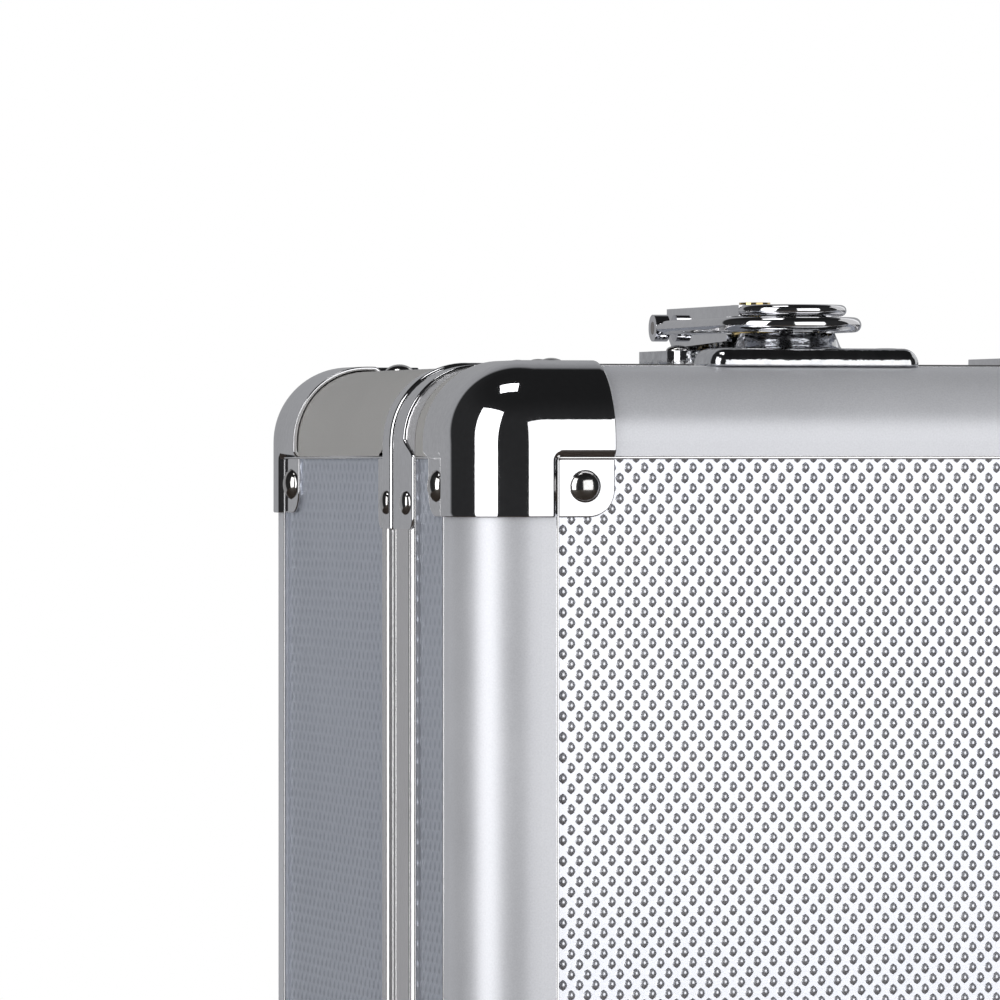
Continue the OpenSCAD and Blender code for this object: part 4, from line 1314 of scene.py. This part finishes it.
@dataclass
class FoamLining:
    """Foam tubs inside the shells, with waffled floors.

    Attributes:
        outer: the depth of a tub's outer face below the rails.
        thick: the foam's thickness.
        pitch: the distance between two waves of the floor's waffle.
        wave: the waves' height.
        side_gap: the gap between the waffle and the tub's walls.
    """

    outer: float = 4.8 * MM
    thick: float = 2.5 * MM
    pitch: float = 12 * MM
    wave: float = 1.0 * MM
    side_gap: float = 1.2 * MM

    def tub(self, floor_y: float, mouth_y: float) -> Sheet:
        """Builds a tub that opens along Y.

        Args:
            floor_y: the outer face of the tub's floor.
            mouth_y: its open edge.

        Returns:
            The closed mesh.
        """
        sign = 1.0 if mouth_y > floor_y else -1.0
        inner = self.outer + self.thick
        made = Sheet()
        rows = [[p + Vector((0, y, 0)) for p in outline(self.outer, 8)] for y in (floor_y, mouth_y)]
        depth_steps = max(int(abs(mouth_y - floor_y) / (6 * MM)), 4)
        inside_floor = floor_y + sign * self.thick
        for step in range(depth_steps + 1):
            y = mouth_y + (inside_floor - mouth_y) * step / depth_steps
            rows.append([p + Vector((0, y, 0)) for p in outline(inner, 8)])
        for shrink in (1.5, 4, 9, 16):
            scale = 1 - shrink * MM / HALF_H
            rows.append([Vector((p.x * scale, inside_floor, MID_Z + (p.z - MID_Z) * scale))
                         for p in outline(inner, 8)])
        made.grid(rows, closed=True)
        made.close_ends(len(rows[0]))
        return made

    def build(self) -> None:
        """Makes both tubs and their quilted floors."""
        for shell, sign, mouth_y in ((Shell.LID, 1.0, BASE_START - 2.7 * MM),
                                     (Shell.BASE, -1.0, BASE_START + 1.3 * MM)):
            floor_y = sign * (self.outer - HALF_D)
            tub = self.tub(floor_y, mouth_y).to_object(shell.value + "_foam_tub", FOAM, 50)
            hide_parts(shell.value + "_lining")
            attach(tub, shell.value)
            self.pad(shell, floor_y + sign * self.thick, sign)

    def pad(self, shell: Shell, y: float, sign: float) -> None:
        """Adds the waffled sheet that covers a tub's floor.

        Args:
            shell: the half of the case.
            y: the floor's inside face.
            sign: the direction along Y in which the floor faces.
        """
        inset = self.outer + self.thick + self.side_gap
        half_x, half_z = HALF_W - inset, HALF_H - inset
        nx, nz = int(2 * half_x / self.pitch) * 4, int(2 * half_z / self.pitch) * 4
        rows = []
        for j in range(nz + 1):
            row = []
            for i in range(nx + 1):
                x = -half_x + 2 * half_x * i / nx
                z = -half_z + 2 * half_z * j / nz
                wave = abs(math.sin(math.pi * i / 4) * math.sin(math.pi * j / 4)) ** 0.6
                edge = min(i, nx - i, j, nz - j)
                rise = 0.1 * MM if edge == 0 else 0.5 * MM + self.wave * wave
                row.append(Vector((x, y + sign * rise, MID_Z + z)))
            rows.append(row)
        made = Sheet()
        made.grid(rows)
        piece = made.to_object(shell.value + "_foam_waffle", FOAM, 60)
        wanted = Vector((0, sign, 0))
        if piece.data.polygons[len(piece.data.polygons) // 2].normal.dot(wanted) < 0:
            piece.data.flip_normals()
        thicken(piece, 0.08 * MM)
        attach(piece, shell.value)


# ---------------------------------------------------------------- studio


@dataclass
class Card:
    """A soft light card.

    Attributes:
        name: its name.
        azimuth: its direction from the case's corner, in degrees from -Y towards -X.
        elevation: its height above the horizon in degrees.
        distance: how far it is.
        width: its width.
        height: its height.
        radiance: its brightness, where 1 renders white in a mirror.
        roll: how far it is turned about the line to the case's corner, in degrees.
        mirrored: whether polished metal shows it.
    """

    name: str
    azimuth: float
    elevation: float
    distance: float
    width: float
    height: float
    radiance: float
    roll: float = 0.0
    mirrored: bool = True

    def build(self, aim: Vector) -> None:
        """Hangs the card.

        Args:
            aim: the point that it faces.
        """
        lamp = bpy.data.lights.new(self.name, "AREA")
        lamp.shape = "RECTANGLE"
        lamp.size = self.width
        lamp.size_y = self.height
        lamp.energy = self.radiance * math.pi * self.width * self.height
        made = add_object(self.name, lamp)
        az, el = math.radians(self.azimuth), math.radians(self.elevation)
        toward = Vector((-math.sin(az) * math.cos(el), -math.cos(az) * math.cos(el), math.sin(el)))
        made.location = aim + toward * self.distance
        turned = toward.to_track_quat("Z", "Y").to_matrix() @ Matrix.Rotation(math.radians(self.roll), 3, "Z")
        made.rotation_euler = turned.to_euler()
        made.visible_camera = False
        made.visible_glossy = self.mirrored


@dataclass
class Studio:
    """A pale studio with light cards, and the camera that looks at the case's corner.

    Attributes:
        camera_place: where the camera stands.
        turn: how far it is turned from +Y towards +X, in radians.
        dip: how far it looks down, in radians.
        lens: its focal length in millimetres on a 36 mm sensor.
        aim: the case's corner, which the cards face.
        cards: the light cards.
    """

    camera_place: Vector = field(default_factory=lambda: Vector((-0.5912, -1.4625, 0.2920)))
    turn: float = 0.279
    dip: float = 0.0054
    lens: float = 283.86
    aim: Vector = field(default_factory=lambda: Vector((-0.19, -0.05, 0.29)))
    cards: tuple[Card, ...] = (
        Card("front_card", -20.5, 4, 2.6, 2.42, 2.45, 1.45),
        Card("left_strip", 66.5, 12, 2.4, 1.56, 2.8, 2.6),
        Card("overhead_square", 79, 76.5, 2.2, 0.74, 0.56, 3.4, roll=54),
        Card("soft_fill", -6, 58, 2.4, 2.0, 1.4, 1.3, mirrored=False),
        Card("back_right_card", -115, 20, 3.0, 2.4, 2.4, 0.6),
    )

    def camera(self) -> None:
        """Sets up the camera."""
        lens = bpy.data.cameras.new("case_camera")
        lens.sensor_width = 36.0
        lens.lens = self.lens
        lens.clip_start = 0.05
        lens.clip_end = 50.0
        made = add_object("case_camera", lens)
        ahead = Vector((math.sin(self.turn) * math.cos(self.dip), math.cos(self.turn) * math.cos(self.dip),
                        -math.sin(self.dip)))
        made.location = self.camera_place
        made.rotation_euler = ahead.to_track_quat("-Z", "Y").to_euler()
        bpy.context.scene.camera = made

    def floor(self) -> None:
        """Lays a round pale floor that fades into the white surroundings."""
        mesh = bpy.data.meshes.new("studio_floor")
        ring = [(math.cos(k * math.pi / 48), math.sin(k * math.pi / 48), 0.0) for k in range(96)]
        mesh.from_pydata(ring, [], [tuple(range(96))])
        made = add_object("studio_floor", mesh)
        paint = bpy.data.materials.new("studio_floor_paint")
        paint.use_nodes = True
        bench = NodeBench(paint.node_tree)
        place = bench.add("ShaderNodeTexCoord").outputs["Object"]
        length = bench.add("ShaderNodeVectorMath", {0: place}, operation="LENGTH")
        fade = bench.add("ShaderNodeMapRange", {
            "Value": length.outputs["Value"], "From Min": 0.35, "From Max": 0.96},
            interpolation_type="SMOOTHSTEP")
        path = bench.add("ShaderNodeLightPath").outputs
        # Polished metal shows a darker, warmer floor than the eye does
        tone = bench.add("ShaderNodeMix", {
            "Factor": path["Is Glossy Ray"], "A": (0.82, 0.82, 0.82, 1), "B": (0.06, 0.045, 0.035, 1)},
            data_type="RGBA")
        shader = paint.node_tree.nodes["Principled BSDF"]
        bench.feed(shader.inputs["Roughness"], 0.7)
        bench.feed(shader.inputs["Base Color"], tone.outputs["Result"])
        glow = bench.add("ShaderNodeEmission")
        mix = bench.add("ShaderNodeMixShader", {
            "Fac": bench.math("MULTIPLY", fade.outputs["Result"], path["Is Camera Ray"]),
            1: shader.outputs[0], 2: glow.outputs[0]})
        bench.feed(paint.node_tree.nodes["Material Output"].inputs["Surface"], mix.outputs[0])
        mesh.materials.append(paint)
        made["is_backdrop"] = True

    def world(self) -> None:
        """Makes the surroundings: white to the camera, dim studio walls to everything else."""
        made = bpy.data.worlds.new("studio_world")
        bpy.context.scene.world = made
        made.use_nodes = True
        made.node_tree.nodes.clear()
        bench = NodeBench(made.node_tree)
        direction = bench.add("ShaderNodeTexCoord").outputs["Generated"]
        parts = bench.add("ShaderNodeSeparateXYZ", {0: direction}).outputs
        sideways = bench.math("ADD", bench.math("MULTIPLY", parts["X"], 0.5), 0.03)
        lean = bench.math("MULTIPLY", parts["Z"], sideways)
        # A pale wall behind the case that darkens towards the ceiling
        behind, above = (bench.add("ShaderNodeMapRange", {
            "Value": value, "From Min": start, "From Max": end, "To Min": low, "To Max": high},
            interpolation_type="SMOOTHSTEP").outputs["Result"] for value, start, end, low, high in (
                (bench.math("ADD", parts["Y"], lean), 0.66, 0.76, 0.025, 0.35),
                (parts["Z"], 0.45, 0.9, 1.0, 0.55)))
        walls = bench.add("ShaderNodeBackground", {
            "Color": (0.96, 0.97, 1.0, 1), "Strength": bench.math("MULTIPLY", behind, above)})
        white = bench.add("ShaderNodeBackground", {"Color": (1, 1, 1, 1), "Strength": 1.0})
        mix = bench.add("ShaderNodeMixShader", {
            "Fac": bench.add("ShaderNodeLightPath").outputs["Is Camera Ray"],
            1: walls.outputs[0], 2: white.outputs[0]})
        bench.add("ShaderNodeOutputWorld", {"Surface": mix.outputs[0]})

    def build(self) -> None:
        """Sets up the camera, the lights and the floor."""
        self.camera()
        self.floor()
        self.world()
        for card in self.cards:
            card.build(self.aim)
        bpy.context.scene.view_settings.view_transform = "Standard"


def dress_nodes() -> None:
    """Gives every node its finish."""
    for name, item in frame["nodes"].items():
        finish = finish_of(name).material()
        for slot in item.material_slots:
            slot.material = finish


def main() -> None:
    logging.basicConfig(level=logging.INFO, format="%(message)s")
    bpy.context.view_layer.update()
    Studio().build()
    dress_nodes()
    for maker in (EmbossedSkins(), CornerCaps(), RimCorners(), FlutedRims(), RolledLips(), Rivets(),
                  Hardware(), Keepers(), HandleGrip(), FoamLining()):
        maker.build()
        LOG.info("built %s", type(maker).__name__)
    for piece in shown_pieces():
        LOG.info("piece %s", piece.name)


if __name__ == "__main__":
    main()
